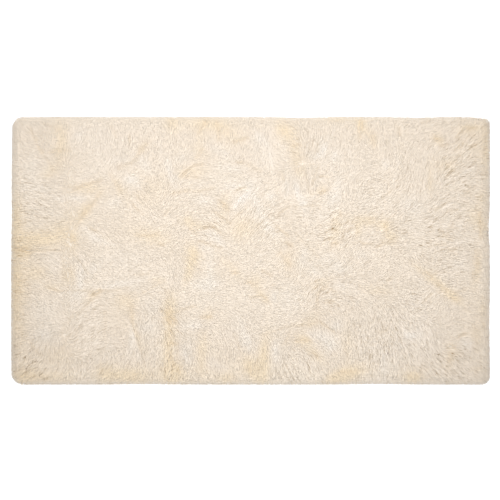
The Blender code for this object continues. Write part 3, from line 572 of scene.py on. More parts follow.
@dataclass(frozen=True)
class Outline:
    """The rug's rounded outline on the floor, with the stretches where its rim draws in.

    Attributes:
        half_long: Half of the rug's length.
        half_wide: Half of the rug's width.
        radii: Corner radii, by the signs of x and y.
        step: How far apart the distances are read that give the way out to the rim.
        rounds: How many times points are brought back from the rim.
    """

    half_long: float
    half_wide: float
    radii: dict[tuple[int, int], float] = field(
        default_factory=lambda: {(-1, 1): 0.040, (1, 1): 0.018, (-1, -1): 0.043, (1, -1): 0.029}
    )
    step: float = 0.0005
    rounds: int = 3

    def swell(self, side: Side, at: np.ndarray) -> np.ndarray:
        """How far the rim moves outward along one side.

        Args:
            side: The side of the rug.
            at: Places along that side.

        Returns:
            The outward move at each place.
        """
        reach = np.zeros_like(at)
        for swell in SWELLS:
            if swell.side is side:
                reach += swell.reach * np.exp(-0.5 * ((at - swell.at) / swell.spread) ** 2)
        return reach

    def inside(self, points: np.ndarray) -> np.ndarray:
        """How far inside the rim each point lies, below 0 outside it.

        Args:
            points: An array of points, of which x and y are read.

        Returns:
            The distance to the rim for each point.
        """
        x, y = points[:, 0], points[:, 1]
        reach_x = np.where(x > 0, self.swell(Side.RIGHT, y), self.swell(Side.LEFT, y))
        reach_y = np.where(y > 0, self.swell(Side.BACK, x), self.swell(Side.FRONT, x))
        radius = np.zeros_like(x)
        for (sign_x, sign_y), size in self.radii.items():
            radius[(x * sign_x >= 0) & (y * sign_y >= 0)] = size
        over_x = np.abs(x) - (self.half_long + reach_x - radius)
        over_y = np.abs(y) - (self.half_wide + reach_y - radius)
        corner = np.hypot(np.maximum(over_x, 0.0), np.maximum(over_y, 0.0))
        flat = np.minimum(np.maximum(over_x, over_y), 0.0)
        return radius - corner - flat

    def outward(self, points: np.ndarray) -> np.ndarray:
        """The level direction straight out to the rim at each point.

        Args:
            points: An array of points, of which x and y are read.

        Returns:
            Unit directions with x and y.
        """
        along_x, along_y = (self.step, 0, 0), (0, self.step, 0)
        ahead_x = self.inside(points + along_x) - self.inside(points - along_x)
        ahead_y = self.inside(points + along_y) - self.inside(points - along_y)
        away = -np.stack([ahead_x, ahead_y], axis=1)
        return away / np.maximum(np.linalg.norm(away, axis=1, keepdims=True), 1e-9)

    def drawn_in(self, points: np.ndarray, inset: float) -> np.ndarray:
        """Bring points that are nearer to the rim than the inset back to it.

        Args:
            points: An array of points.
            inset: The least distance to the rim.

        Returns:
            The moved points.
        """
        moved = points.copy()
        for _ in range(self.rounds):
            short = np.maximum(inset - self.inside(moved), 0.0)
            moved[:, :2] -= self.outward(moved) * short[:, None]
        return moved

    def counts(self, pitch: float) -> tuple[int, int]:
        """How many faces of a grid go along the rug and across it."""
        return round(2 * self.half_long / pitch), round(2 * self.half_wide / pitch)

    def grid(self, pitch: float) -> bmesh.types.BMesh:
        """Make a level grid of faces over the rug.

        Args:
            pitch: The spacing of the grid.

        Returns:
            The grid, which isn't yet cut to the outline.
        """
        long, wide = self.counts(pitch)
        bm = bmesh.new()
        bmesh.ops.create_grid(bm, x_segments=long, y_segments=wide, size=1.0)
        bmesh.ops.scale(bm, vec=(self.half_long, self.half_wide, 1.0), verts=bm.verts)
        return bm


@dataclass(frozen=True)
class CombField:
    """Which way the pile lies at each place, and how it differs there from the rest.

    Attributes:
        outline: The rug's outline, whose rim pile falls outward.
        rim_band: The width of the rim band that is combed outward.
        rim_pull: How much more than a stroke the rim counts.
        drift: The weight of the slow drift that fills the places between strokes.
        drift_turn: How far that drift swings either way, in radians.
        lean_from_crease: How strongly locks lean away from a crease.
        fold_width: What the folds' widths are multiplied by.
        fold_fall: How steeply a fold falls away to its sides.
        fold_step: How far apart the rises are read that give a fold's slope.
        patch_fall: How steeply a patch fades out from its middle.
        whorl: How far the strokes have to agree, or the locks there lie every way.
        whorl_ruffle: How ruffled the pile is where the strokes cancel out.
        life: How uneven the plain pile is, where 1 is all that the locks' sizes give.
        ruffled_life: How much more uneven it is where it is ruffled.
        calmed_life: How much less uneven it is where it is calm.
    """

    outline: Outline
    rim_band: float = 0.030
    rim_pull: float = 1.6
    drift: float = 0.04
    drift_turn: float = 0.9
    lean_from_crease: float = 0.004
    fold_width: float = 0.75
    fold_fall: float = 0.8
    fold_step: float = 0.002
    patch_fall: float = 0.7
    whorl: float = 0.45
    whorl_ruffle: float = 6.0
    life: float = 0.6
    ruffled_life: float = 2.2
    calmed_life: float = 0.55

    def direction(self, points: np.ndarray) -> np.ndarray:
        """Blend the comb strokes round each point.

        Args:
            points: An array of points, of which x and y are read.

        Returns:
            A level direction for each point, shorter where the strokes disagree.
        """
        x, y = points[:, 0], points[:, 1]
        # two slow waves that cross at a slant, so that the drift never repeats on the rug
        first, second = np.sin(6.0 * x + 1.3), np.sin(9.0 * y - 3.0 * x + 0.4)
        turn = self.drift_turn * first + self.drift_turn * second
        total = self.drift * np.stack([np.cos(turn), np.sin(turn)], axis=1)
        weight = np.full(len(points), self.drift)
        for stroke in COMB_STROKES:
            away = ((x - stroke.x) ** 2 + (y - stroke.y) ** 2) / stroke.reach**2
            share = np.exp(-0.5 * away)
            bearing = math.radians(stroke.bearing)
            total += share[:, None] * (math.cos(bearing), math.sin(bearing))
            weight += share
        total /= weight[:, None]
        rim = np.clip(1.0 - self.outline.inside(points) / self.rim_band, 0.0, 1.0)[:, None]
        total = (1.0 - rim) * total + self.rim_pull * rim * self.outline.outward(points)
        return np.concatenate([total, np.zeros((len(points), 1))], axis=1)

    def folded(self, points: np.ndarray) -> np.ndarray:
        """How far the pile is raised in a ridge, above 0, or parted in a crease, below 0.

        Args:
            points: An array of points, of which x and y are read.

        Returns:
            The rise at each point, from -1 to 1.
        """
        ridges = np.zeros(len(points))
        creases = np.zeros(len(points))
        for fold in FOLDS:
            run = np.array((fold.end_x - fold.start_x, fold.end_y - fold.start_y))
            from_start = points[:, :2] - (fold.start_x, fold.start_y)
            along = np.clip(from_start @ run / max(run @ run, 1e-9), 0.0, 1.0)
            apart = np.linalg.norm(from_start - along[:, None] * run, axis=1)
            width = self.fold_width * fold.half_width
            rise = fold.rise * np.exp(-self.fold_fall * (apart / width) ** 2)
            if fold.rise > 0:
                ridges = np.maximum(ridges, rise)
            else:
                creases = np.minimum(creases, rise)
        return ridges + creases

    def patched(self, points: np.ndarray, patches: tuple[Patch, ...]) -> np.ndarray:
        """Add up soft ovals at each point.

        Args:
            points: An array of points, of which x and y are read.
            patches: The ovals.

        Returns:
            The amount at each point, 1 at the most.
        """
        total = np.zeros(len(points))
        for patch in patches:
            bearing = math.radians(patch.bearing)
            dx, dy = points[:, 0] - patch.x, points[:, 1] - patch.y
            along = (dx * math.cos(bearing) + dy * math.sin(bearing)) / patch.half_long
            across = (dy * math.cos(bearing) - dx * math.sin(bearing)) / patch.half_wide
            total += patch.amount * np.exp(-self.patch_fall * (along**2 + across**2))
        return np.minimum(total, 1.0)

    def fields(self, points: np.ndarray) -> dict[str, np.ndarray]:
        """Work out everything that the locks read from the bed.

        Args:
            points: The bed's points.

        Returns:
            The comb direction and the fold, tint, ruffle and lively amounts, by name.
        """
        folded = self.folded(points)
        along_x, along_y = (self.fold_step, 0, 0), (0, self.fold_step, 0)
        slope_x = self.folded(points + along_x) - self.folded(points - along_x)
        slope_y = self.folded(points + along_y) - self.folded(points - along_y)
        lean = np.stack([slope_x, slope_y, np.zeros(len(points))], axis=1) / (2 * self.fold_step)
        lean *= self.lean_from_crease * np.clip(-folded, 0.0, 1.0)[:, None]
        comb = self.direction(points)
        whorl = np.clip(1.0 - np.linalg.norm(comb, axis=1) / self.whorl, 0.0, 1.0)
        ruffle = self.patched(points, RUFFLED_PATCHES)
        calm = self.patched(points, CALM_PATCHES)
        return {
            "comb": comb + lean,
            # the fold sets the locks' rise, and also the yarn's painted shade and painted highlight
            "fold": folded + self.patched(points, LUMPS),
            "tint": self.patched(points, WARM_PATCHES) - self.patched(points, COOL_PATCHES),
            "ruffle": ruffle + self.whorl_ruffle * whorl,
            "lively": self.life + self.ruffled_life * ruffle - self.calmed_life * calm,
        }


@dataclass(frozen=True)
class RimDrape:
    """How the flat-topped pile falls over the rim to the floor.

    Attributes:
        outline: The rug's outline.
        fall_band: The width of the band over which the pile comes down.
        fall_power: How steeply it falls, where 1 is a straight ramp.
        gather: The band in which locks that reach too far are gathered in.
        reach: How far inside the outline the longest locks end.
        floor_gap: The least height over the floor.
        hang_band: The outer share of the fall band in which some locks hang lower.
        hang: How much lower the lowest of them hangs there, as a share of its height.
        lean: How far the draped surface leans out, along the rug and across it.
    """

    outline: Outline
    fall_band: float = 0.034
    fall_power: float = 0.60
    gather: float = 0.013
    reach: float = -0.0035
    floor_gap: float = 0.0006
    hang_band: float = 0.45
    hang: float = 0.9
    lean: tuple[float, float] = (1.4, 0.6)

    def drape(self, points: np.ndarray, sink: np.ndarray) -> np.ndarray:
        """Lay points of the flat-topped pile over the rim.

        Args:
            points: Points of the pile before it falls.
            sink: For each point, how far down the side its lock hangs, from 0 to 1.

        Returns:
            The draped points.
        """
        inside = self.outline.inside(points) - self.reach
        pulled_in = self.gather * np.exp((inside - self.gather) / self.gather)
        gathered = np.where(inside < self.gather, pulled_in, inside)
        moved = points.copy()
        moved[:, :2] += self.outline.outward(points) * (inside - gathered)[:, None]
        share = np.clip((gathered + self.reach) / self.fall_band, 0.0, 1.0)
        low = np.clip(1.0 - share / self.hang_band, 0.0, 1.0) * sink
        height = points[:, 2] * share**self.fall_power * (1.0 - self.hang * low)
        moved[:, 2] = np.maximum(height, self.floor_gap)
        return moved

    def facing(self, points: np.ndarray) -> np.ndarray:
        """The way the draped pile's surface leans outward at each point.

        Args:
            points: Draped points.

        Returns:
            Level vectors, from nothing inside the fall band to full at the rim.
        """
        share = np.clip(1.0 - self.outline.inside(points) / self.fall_band, 0.0, 1.0)
        lean = share[:, None] ** 2 * self.outline.outward(points) * self.lean
        return np.concatenate([lean, np.zeros((len(points), 1))], axis=1)


class NodeTree:
    """A small helper that adds nodes to a tree and joins them in reading order."""

    def __init__(self, tree: bpy.types.NodeTree) -> None:
        """Keep the tree, a shader or geometry tree to fill."""
        self.tree = tree
        self.column = 0

    def fill(self, node: bpy.types.Node, inputs: dict[str | int, object]) -> None:
        """Set or link a node's inputs.

        Args:
            node: The node.
            inputs: Values, colours or output sockets, by the input's name or number.
        """
        for name, value in inputs.items():
            socket = node.inputs[name]
            if isinstance(value, Socket):
                self.tree.links.new(value, socket)
            elif socket.type == "RGBA":
                socket.default_value = (*value, 1.0)
            else:
                socket.default_value = value

    def add(
        self, kind: str, inputs: dict[str | int, object] | None = None, **settings: object
    ) -> bpy.types.Node:
        """Add a node, set its properties, and set or link its inputs.

        Args:
            kind: The node's type name.
            inputs: Values, colours or output sockets, by the input's name or number.
            **settings: Properties of the node.

        Returns:
            The new node.
        """
        node = self.tree.nodes.new(kind)
        node.location = (220 * self.column, -160 * (self.column % 4))
        self.column += 1
        for name, value in settings.items():
            setattr(node, name, value)
        self.fill(node, inputs or {})
        return node

    def math(self, operation: str, first: object, *others: object) -> Socket:
        """Add a math node for each further value, from left to right.

        Args:
            operation: What the nodes do.
            first: The first value.
            *others: The values that join it in turn. None are given for a sine.

        Returns:
            The last node's result.
        """
        for other in others or (0.0,):
            node = self.add("ShaderNodeMath", {0: first, 1: other}, operation=operation)
            first = node.outputs[0]
        return first

    def plus(self, *values: object) -> Socket:
        """Add numbers up."""
        return self.math("ADD", *values)

    def minus(self, first: object, second: object) -> Socket:
        """Take the second number from the first."""
        return self.math("SUBTRACT", first, second)

    def times(self, *values: object) -> Socket:
        """Multiply numbers."""
        return self.math("MULTIPLY", *values)

    def over(self, first: object, second: object) -> Socket:
        """Divide the first number by the second."""
        return self.math("DIVIDE", first, second)

    def above_zero(self, value: object) -> Socket:
        """Keep a number where it is above 0, and give 0 elsewhere."""
        return self.math("MAXIMUM", value, 0.0)

    def vector(self, operation: str, first: object, second: object = (0, 0, 0)) -> Socket:
        """Add a vector math node and return its vector, or the number of a dot product."""
        node = self.add("ShaderNodeVectorMath", {0: first, 1: second}, operation=operation)
        return node.outputs["Value" if operation == "DOT_PRODUCT" else "Vector"]

    def scaled(self, vector: object, scale: object) -> Socket:
        """Add a vector scale node and return its vector."""
        node = self.add("ShaderNodeVectorMath", {0: vector, "Scale": scale}, operation="SCALE")
        return node.outputs["Vector"]

    def joined(self, x: object, y: object, z: object) -> Socket:
        """Join three numbers into a vector."""
        return self.add("ShaderNodeCombineXYZ", {0: x, 1: y, 2: z}).outputs[0]

    def split(self, vector: object) -> bpy.types.NodeOutputs:
        """Split a vector into X, Y and Z."""
        return self.add("ShaderNodeSeparateXYZ", {0: vector}).outputs

    def mix(self, factor: object, first: object, second: object, blend: str = "MIX") -> Socket:
        """Add a colour mix node.

        Args:
            factor: The share of the second colour.
            first: The first colour.
            second: The second colour.
            blend: How the two are blended.

        Returns:
            The mixed colour.
        """
        node = self.add("ShaderNodeMix", data_type="RGBA", blend_type=blend)
        self.fill(node, {0: factor, 6: first, 7: second})
        return node.outputs[2]

    def tinted(self, colour: object, share: object, none: object, full: object) -> Socket:
        """Multiply a colour by one of two others, or by a share between them."""
        return self.mix(1.0, colour, self.mix(share, none, full), blend="MULTIPLY")


def new_material(name: str) -> tuple[bpy.types.Material, NodeTree, bpy.types.Node]:
    """Make a material and give back its tree helper and its shader.

    Args:
        name: The material's name.

    Returns:
        The material, the helper for its tree, and its Principled BSDF node.
    """
    material = bpy.data.materials.new(name)
    material.use_nodes = True
    return material, NodeTree(material.node_tree), material.node_tree.nodes["Principled BSDF"]


@dataclass(frozen=True)
class YarnFinish:
    """Cream polyester yarn, soft and matte, with warm painted shade towards the root.

    Attributes:
        root: Colour at the root of a lock, darker and warmer as painted shade of the deep pile.
        tip: Colour at its tip.
        warm: Colour of the warm patches.
        cool: Colour of the cool patches.
        crease: What a crease multiplies the colour by, as painted shade down in the crease.
        ridge: What a ridge multiplies the colour by, as painted highlight on the ridge.
        side: What the flanks of a lock multiply the colour by, as painted shade on the flanks.
        shading: How much of a lock's shade each of red, green and blue takes, blue most, so painted
            shade is warm.
        root_power: How soon the root's painted shade gives way, where 1 is evenly along the lock.
    """

    root: Colour = (0.78, 0.65, 0.49)
    tip: Colour = (0.868, 0.782, 0.688)
    warm: Colour = (0.885, 0.750, 0.565)
    cool: Colour = (0.890, 0.840, 0.782)
    crease: Colour = (0.878, 0.825, 0.742)
    ridge: Colour = (1.060, 1.080, 1.106)
    side: Colour = (0.88, 0.84, 0.78)
    shading: Colour = (0.87, 1.00, 1.19)
    root_power: float = 0.6

    def material(self) -> bpy.types.Material:
        """Build the yarn from what each lock carries.

        Returns:
            The yarn material.
        """
        material, nodes, shader = new_material("cream_yarn")
        along, tint, shade, fold, crown = (
            nodes.add("ShaderNodeAttribute", attribute_name=name).outputs["Fac"]
            for name in ("along", "tint", "shade", "fold", "crown")
        )
        colour = nodes.mix(nodes.above_zero(tint), self.tip, self.warm)
        colour = nodes.mix(nodes.above_zero(nodes.times(tint, -1.0)), colour, self.cool)
        # painted shade in creases and flattened places, painted highlight on ridges and raised
        # places
        crease_shade_share = nodes.above_zero(nodes.times(fold, -1.0))
        colour = nodes.tinted(colour, crease_shade_share, WHITE, self.crease)
        colour = nodes.tinted(colour, nodes.above_zero(fold), WHITE, self.ridge)
        # painted shade on each lock's flanks; its top corner and ends stay lighter
        colour = nodes.tinted(colour, crown, self.side, WHITE)
        # painted shade: the colour darkens towards each lock's root, where the pile is deep
        colour = nodes.mix(nodes.math("POWER", along, self.root_power), self.root, colour)
        # each lock's shade: its own random tone, plus painted light and shade along streaks and in
        # hollows
        level = nodes.vector("ADD", nodes.scaled(self.shading, shade), WHITE)
        nodes.fill(
            shader,
            {
                "Base Color": nodes.mix(1.0, colour, level, blend="MULTIPLY"),
                "Roughness": 0.9,
                "Specular IOR Level": 0.25,
                "Sheen Weight": 0.15,
                "Sheen Roughness": 0.5,
            },
        )
        return material


@dataclass(frozen=True)
class UnderfurFinish:
    """The short, dense underfur that shows only down in the creases, darker than the yarn as
    painted shade.

    Attributes:
        deep: Colour in the fine hollows, darkest, as painted shade.
        high: Colour on the fine crests, still darker than the yarn, as painted shade of the deep
            pile.
        fibre: The width of its fine clumps.
    """

    deep: Colour = (0.73, 0.65, 0.55)
    high: Colour = (0.79, 0.71, 0.61)
    fibre: float = 0.004

    def material(self) -> bpy.types.Material:
        """Build the underfur.

        Returns:
            The underfur material.
        """
        material, nodes, shader = new_material("cream_underfur")
        place = nodes.add("ShaderNodeTexCoord").outputs["Object"]
        noise = nodes.add(
            "ShaderNodeTexNoise", {"Vector": place, "Scale": 1.0 / self.fibre, "Detail": 3.0}
        ).outputs["Fac"]
        bump = nodes.add("ShaderNodeBump", {"Height": noise, "Strength": 0.6, "Distance": 0.002})
        # painted shade: darker in the fine hollows of the bump, and darker all over than the yarn
        look = {
            "Base Color": nodes.mix(noise, self.deep, self.high),
            "Normal": bump.outputs["Normal"],
            "Roughness": 0.95,
        }
        nodes.fill(shader, look)
        return material


@dataclass(frozen=True)
class BackingFinish:
    """Natural canvas backing in a plain weave, seen only from below.

    Attributes:
        thread: Colour of the threads.
        hollow: Colour between the threads, as painted shade where the weave dips.
        pitch: The spacing of the threads.
        mean: Where a crossing lies between the two colours, from 0 to 1.
        relief: How far a thread strays from that, over or under.
        slub: The scale of the slubs that make the threads uneven.
    """

    thread: Colour = (0.80, 0.75, 0.65)
    hollow: Colour = (0.55, 0.50, 0.41)
    pitch: float = 0.0028
    mean: float = 0.6
    relief: float = 0.35
    slub: float = 60.0

    def material(self) -> bpy.types.Material:
        """Build the woven canvas.

        Returns:
            The backing material.
        """
        material, nodes, shader = new_material("backing_canvas")
        place = nodes.add("ShaderNodeTexCoord").outputs["Object"]
        split = nodes.split(place)
        warp, weft = (
            nodes.math("SINE", nodes.times(split[axis], math.pi / self.pitch))
            for axis in ("X", "Y")
        )
        weave = nodes.plus(nodes.times(warp, weft, self.relief), self.mean)
        slub = nodes.add(
            "ShaderNodeTexNoise", {"Vector": place, "Scale": self.slub, "Detail": 4.0}
        ).outputs["Fac"]
        height = nodes.times(weave, nodes.plus(slub, 0.5))
        bump = nodes.add("ShaderNodeBump", {"Height": height, "Strength": 0.5, "Distance": 0.0008})
        # painted shade: the colour darkens where the weave dips between the threads
        look = {
            "Base Color": nodes.mix(height, self.hollow, self.thread),
            "Normal": bump.outputs["Normal"],
            "Roughness": 0.9,
        }
        nodes.fill(shader, look)
        return material


@dataclass(frozen=True)
class FloorFinish:
    """A plain white studio floor, lit so that it stays white.

    Attributes:
        colour: Its paint.
        glow: Its own even light, as from a lit sweep.
    """

    colour: Colour = (0.93, 0.93, 0.93)
    glow: float = 0.30

    def material(self) -> bpy.types.Material:
        """Build the floor.

        Returns:
            The floor material.
        """
        material, nodes, shader = new_material("studio_floor")
        look = {
            "Base Color": self.colour,
            "Roughness": 0.9,
            "Specular IOR Level": 0.1,
            "Emission Color": WHITE,
            "Emission Strength": self.glow,
        }
        nodes.fill(shader, look)
        return material


def finished_piece(name: str, mesh: bpy.types.Mesh) -> bpy.types.Object:
    """Link a mesh as a piece at the origin that rides with the rug and stands for its solid.

    Args:
        name: The piece's name.
        mesh: Its finished mesh.

    Returns:
        The piece.
    """
    piece = bpy.data.objects.new(name, mesh)
    bpy.context.scene.collection.objects.link(piece)
    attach(piece, BODY)
    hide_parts(NODE)
    return piece


def flat_map(mesh: bpy.types.Mesh, span: float) -> None:
    """Give a mesh a bake map that looks straight down on it.

    Args:
        mesh: The mesh to map.
        span: The length that fills the map.
    """
    corners = np.zeros(len(mesh.loops), np.int32)
    mesh.loops.foreach_get("vertex_index", corners)
    points = mesh_points(mesh)[corners]
    layer = mesh.uv_layers.new(name=BAKE_MAP)
    layer.data.foreach_set("uv", (points[:, :2] / span + 0.5).astype(np.float32).ravel())


@dataclass
class BackingCloth:
    """The woven cloth that the pile is tufted into.

    Attributes:
        outline: The rug's outline.
        inset: How far its cut edge lies inside the rim of the pile.
        thickness: The cloth's thickness.
        pitch: The spacing of its mesh.
    """

    outline: Outline
    inset: float = 0.012
    thickness: float = 0.0016
    pitch: float = 0.04

    def build(self) -> bpy.types.Object:
        """Cut the cloth to the outline and lay it on the floor.

        Returns:
            The backing piece.
        """
        bm = self.outline.grid(self.pitch)
        move_points(bm, lambda points: self.outline.drawn_in(points, self.inset))
        bmesh.ops.solidify(bm, geom=bm.faces, thickness=-self.thickness)
        lowest = min(vert.co.z for vert in bm.verts)
        bmesh.ops.translate(bm, vec=(0.0, 0.0, -lowest), verts=bm.verts)
        bmesh.ops.recalc_face_normals(bm, faces=bm.faces)
        mesh = mesh_from(bm, "backing_cloth")
        flat_map(mesh, MAP_SPAN * self.outline.half_long)
        mesh.materials.append(BackingFinish().material())
        cloth = finished_piece("backing_cloth", mesh)
        return cloth


@dataclass
class PileBed:
    """The lumpy underfur that the long locks stand in.

    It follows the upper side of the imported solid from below, by the depth of the lying locks.

    Attributes:
        outline: The rug's outline.
        comb: The comb field, kept on the bed for the locks to read.
        drape: How the rim falls.
        depth: How far the bed lies below the top of the pile.
        least: The least height of the bed before the rim falls.
        inset: How far inside the rim the bed ends.
        pitch: The spacing of its mesh.
        guide_pitch: The spacing of the finer mesh that the locks are set on.
        rounding: How far the solid's facets are rounded over.
        base: The height of its underside, on the backing.
        clear: How far inside the fall of the rim the solid is read.
    """

    outline: Outline
    comb: CombField
    drape: RimDrape
    depth: float = 0.0050
    least: float = 0.010
    inset: float = 0.006
    pitch: float = 0.009
    guide_pitch: float = 0.0036
    rounding: float = 0.018
    base: float = 0.0016
    clear: float = 0.004

    def heights(self, points: np.ndarray) -> np.ndarray:
        """Read the solid's upper side from above, as it would be without the rim's fall.

        Args:
            points: Places to read.

        Returns:
            The height of the solid at each place.
        """
        solid = frame["nodes"][NODE].data
        tree = BVHTree.FromPolygons(
            [vert.co for vert in solid.vertices], [face.vertices for face in solid.polygons]
        )
        inner = self.outline.drawn_in(points, self.drape.fall_band + self.clear)
        down = Vector((0.0, 0.0, -1.0))
        heights = np.zeros(len(points))
        for number, point in enumerate(inner):
            hit = tree.ray_cast(Vector((point[0], point[1], 1.0)), down)[0]
            heights[number] = hit.z if hit else self.least
        return heights

    def rounded(self, heights: np.ndarray, columns: int, pitch: float) -> np.ndarray:
        """Round the solid's facets over.

        Args:
            heights: The height at each point of a grid, row by row.
            columns: The number of points in a row.
            pitch: The spacing of the grid.

        Returns:
            The rounded heights, in the same order.
        """
        reach = round(3 * self.rounding / pitch)
        weights = np.exp(-0.5 * (np.arange(-reach, reach + 1) * pitch / self.rounding) ** 2)
        weights /= weights.sum()
        grid = heights.reshape(-1, columns)
        for _ in range(2):
            padded = np.pad(grid, ((0, 0), (reach, reach)), mode="edge")
            grid = np.apply_along_axis(np.convolve, 1, padded, weights, mode="valid").T
        return grid.ravel()

    def flat_topped(self, pitch: float) -> bpy.types.Mesh:
        """Make the bed's upper side before the rim falls.

        Args:
            pitch: The spacing of the mesh.

        Returns:
            The open mesh.
        """
        mesh = mesh_from(self.outline.grid(pitch), "pile_bed")
        points = self.outline.drawn_in(mesh_points(mesh), self.inset)
        heights = self.rounded(self.heights(points), self.outline.counts(pitch)[0] + 1, pitch)
        points[:, 2] = np.maximum(heights - self.depth, self.least)
        place_points(mesh, points)
        return mesh

    def guide(self) -> bpy.types.Mesh:
        """Make the finer mesh that the locks are set on, with all that they read from it.

        Returns:
            The guide mesh.
        """
        mesh = self.flat_topped(self.guide_pitch)
        for name, values in self.comb.fields(mesh_points(mesh)).items():
            kind, key = ("FLOAT_VECTOR", "vector") if values.ndim > 1 else ("FLOAT", "value")
            layer = mesh.attributes.new(name, kind, "POINT")
            layer.data.foreach_set(key, values.astype(np.float32).ravel())
        return mesh

    def build(self) -> bpy.types.Object:
        """Close the bed round and below, and let its rim fall.

        Returns:
            The bed piece.
        """
        bm = bmesh.new()
        bm.from_mesh(self.flat_topped(self.pitch))
        move_points(bm, lambda points: self.drape.drape(points, np.zeros(len(points))))
        rim = [edge for edge in bm.edges if edge.is_boundary]
        for item in bmesh.ops.extrude_edge_only(bm, edges=rim)["geom"]:
            if isinstance(item, bmesh.types.BMVert):
                item.co.z = self.base
        foot = [edge for edge in bm.edges if edge.is_boundary]
        bmesh.ops.contextual_create(bm, geom=foot)
        bmesh.ops.recalc_face_normals(bm, faces=bm.faces)
        mesh = mesh_from(bm, "pile_bed")
        mesh.shade_smooth()
        flat_map(mesh, MAP_SPAN * self.outline.half_long)
        mesh.materials.append(UnderfurFinish().material())
        return finished_piece("pile_bed", mesh)


@dataclass(frozen=True)
class LockShape:
    """One yarn lock: a slim three-sided spindle from its root, up and over along +X to its tip.

    Attributes:
        bend: The middle of its thickest place, as (ahead, aside, up) from the root.
        tip: Its pointed tip.
        half_width: Its half width at the bend.
        flatness: How tall its section is for its width.
        turns: The bearings of its three corners round the bend, the ridge first.
    """

    bend: tuple[float, float, float]
    tip: tuple[float, float, float]
    half_width: float = 0.00095
    flatness: float = 0.6
    turns: tuple[float, float, float] = (90.0, 210.0, 330.0)

    def build(self, name: str) -> bpy.types.Object:
        """Make the lock with its ridge upward and both ends pointed.

        Args:
            name: The object's name.

        Returns:
            An object that is only used as a shape to repeat.
        """
        root, bend, tip = np.array(((0.0, 0.0, 0.0), self.bend, self.tip))
        ahead = 0.5 * (tip - root)
        ahead /= np.linalg.norm(ahead)
        aside = np.cross((0.0, 0.0, 1.0), ahead)
        aside /= np.linalg.norm(aside)
        above = np.cross(ahead, aside)
        ring = []
        for turn in self.turns:
            angle = math.radians(turn)
            offset = math.cos(angle) * aside + self.flatness * math.sin(angle) * above
            ring.append(bend + self.half_width * offset)
        # the crown share is 1 at the top corner and the ends, 0 on the flanks, which the yarn
        # darkens as painted shade
        carried = {"along": (0.0, 0.5, 0.5, 0.5, 1.0), "crown": (0.0, 1.0, 0.0, 0.0, 1.0)}
        faces: list[tuple[int, int, int]] = []
        cells: list[tuple[float, float]] = []
        for corner in range(3):
            left, right = corner / 3.0, (corner + 1) / 3.0
            faces.append((0, 1 + (corner + 1) % 3, 1 + corner))
            cells += [(0.5 * (left + right), 0.0), (right, 0.5), (left, 0.5)]
        for corner in range(3):
            left, right = corner / 3.0, (corner + 1) / 3.0
            faces.append((1 + corner, 1 + (corner + 1) % 3, 4))
            cells += [(left, 0.5), (right, 0.5), (0.5 * (left + right), 1.0)]
        mesh = bpy.data.meshes.new(name)
        mesh.from_pydata([tuple(point) for point in (root, *ring, tip)], [], faces)
        for key, values in carried.items():
            mesh.attributes.new(key, "FLOAT", "POINT").data.foreach_set("value", values)
        layer = mesh.uv_layers.new(name="cell")
        layer.data.foreach_set("uv", np.array(cells, np.float32).ravel())
        mesh.shade_smooth()
        return bpy.data.objects.new(name, mesh)


LOCK_SHAPES = (
    LockShape((0.0060, 0.0009, 0.0056), (0.0175, 0.0004, 0.0065)),
    LockShape((0.0052, -0.0009, 0.0060), (0.0155, -0.0012, 0.0071)),
    LockShape((0.0068, 0.0007, 0.0052), (0.0190, -0.0005, 0.0057)),
    LockShape((0.0048, -0.0007, 0.0064), (0.0140, 0.0010, 0.0077)),
)


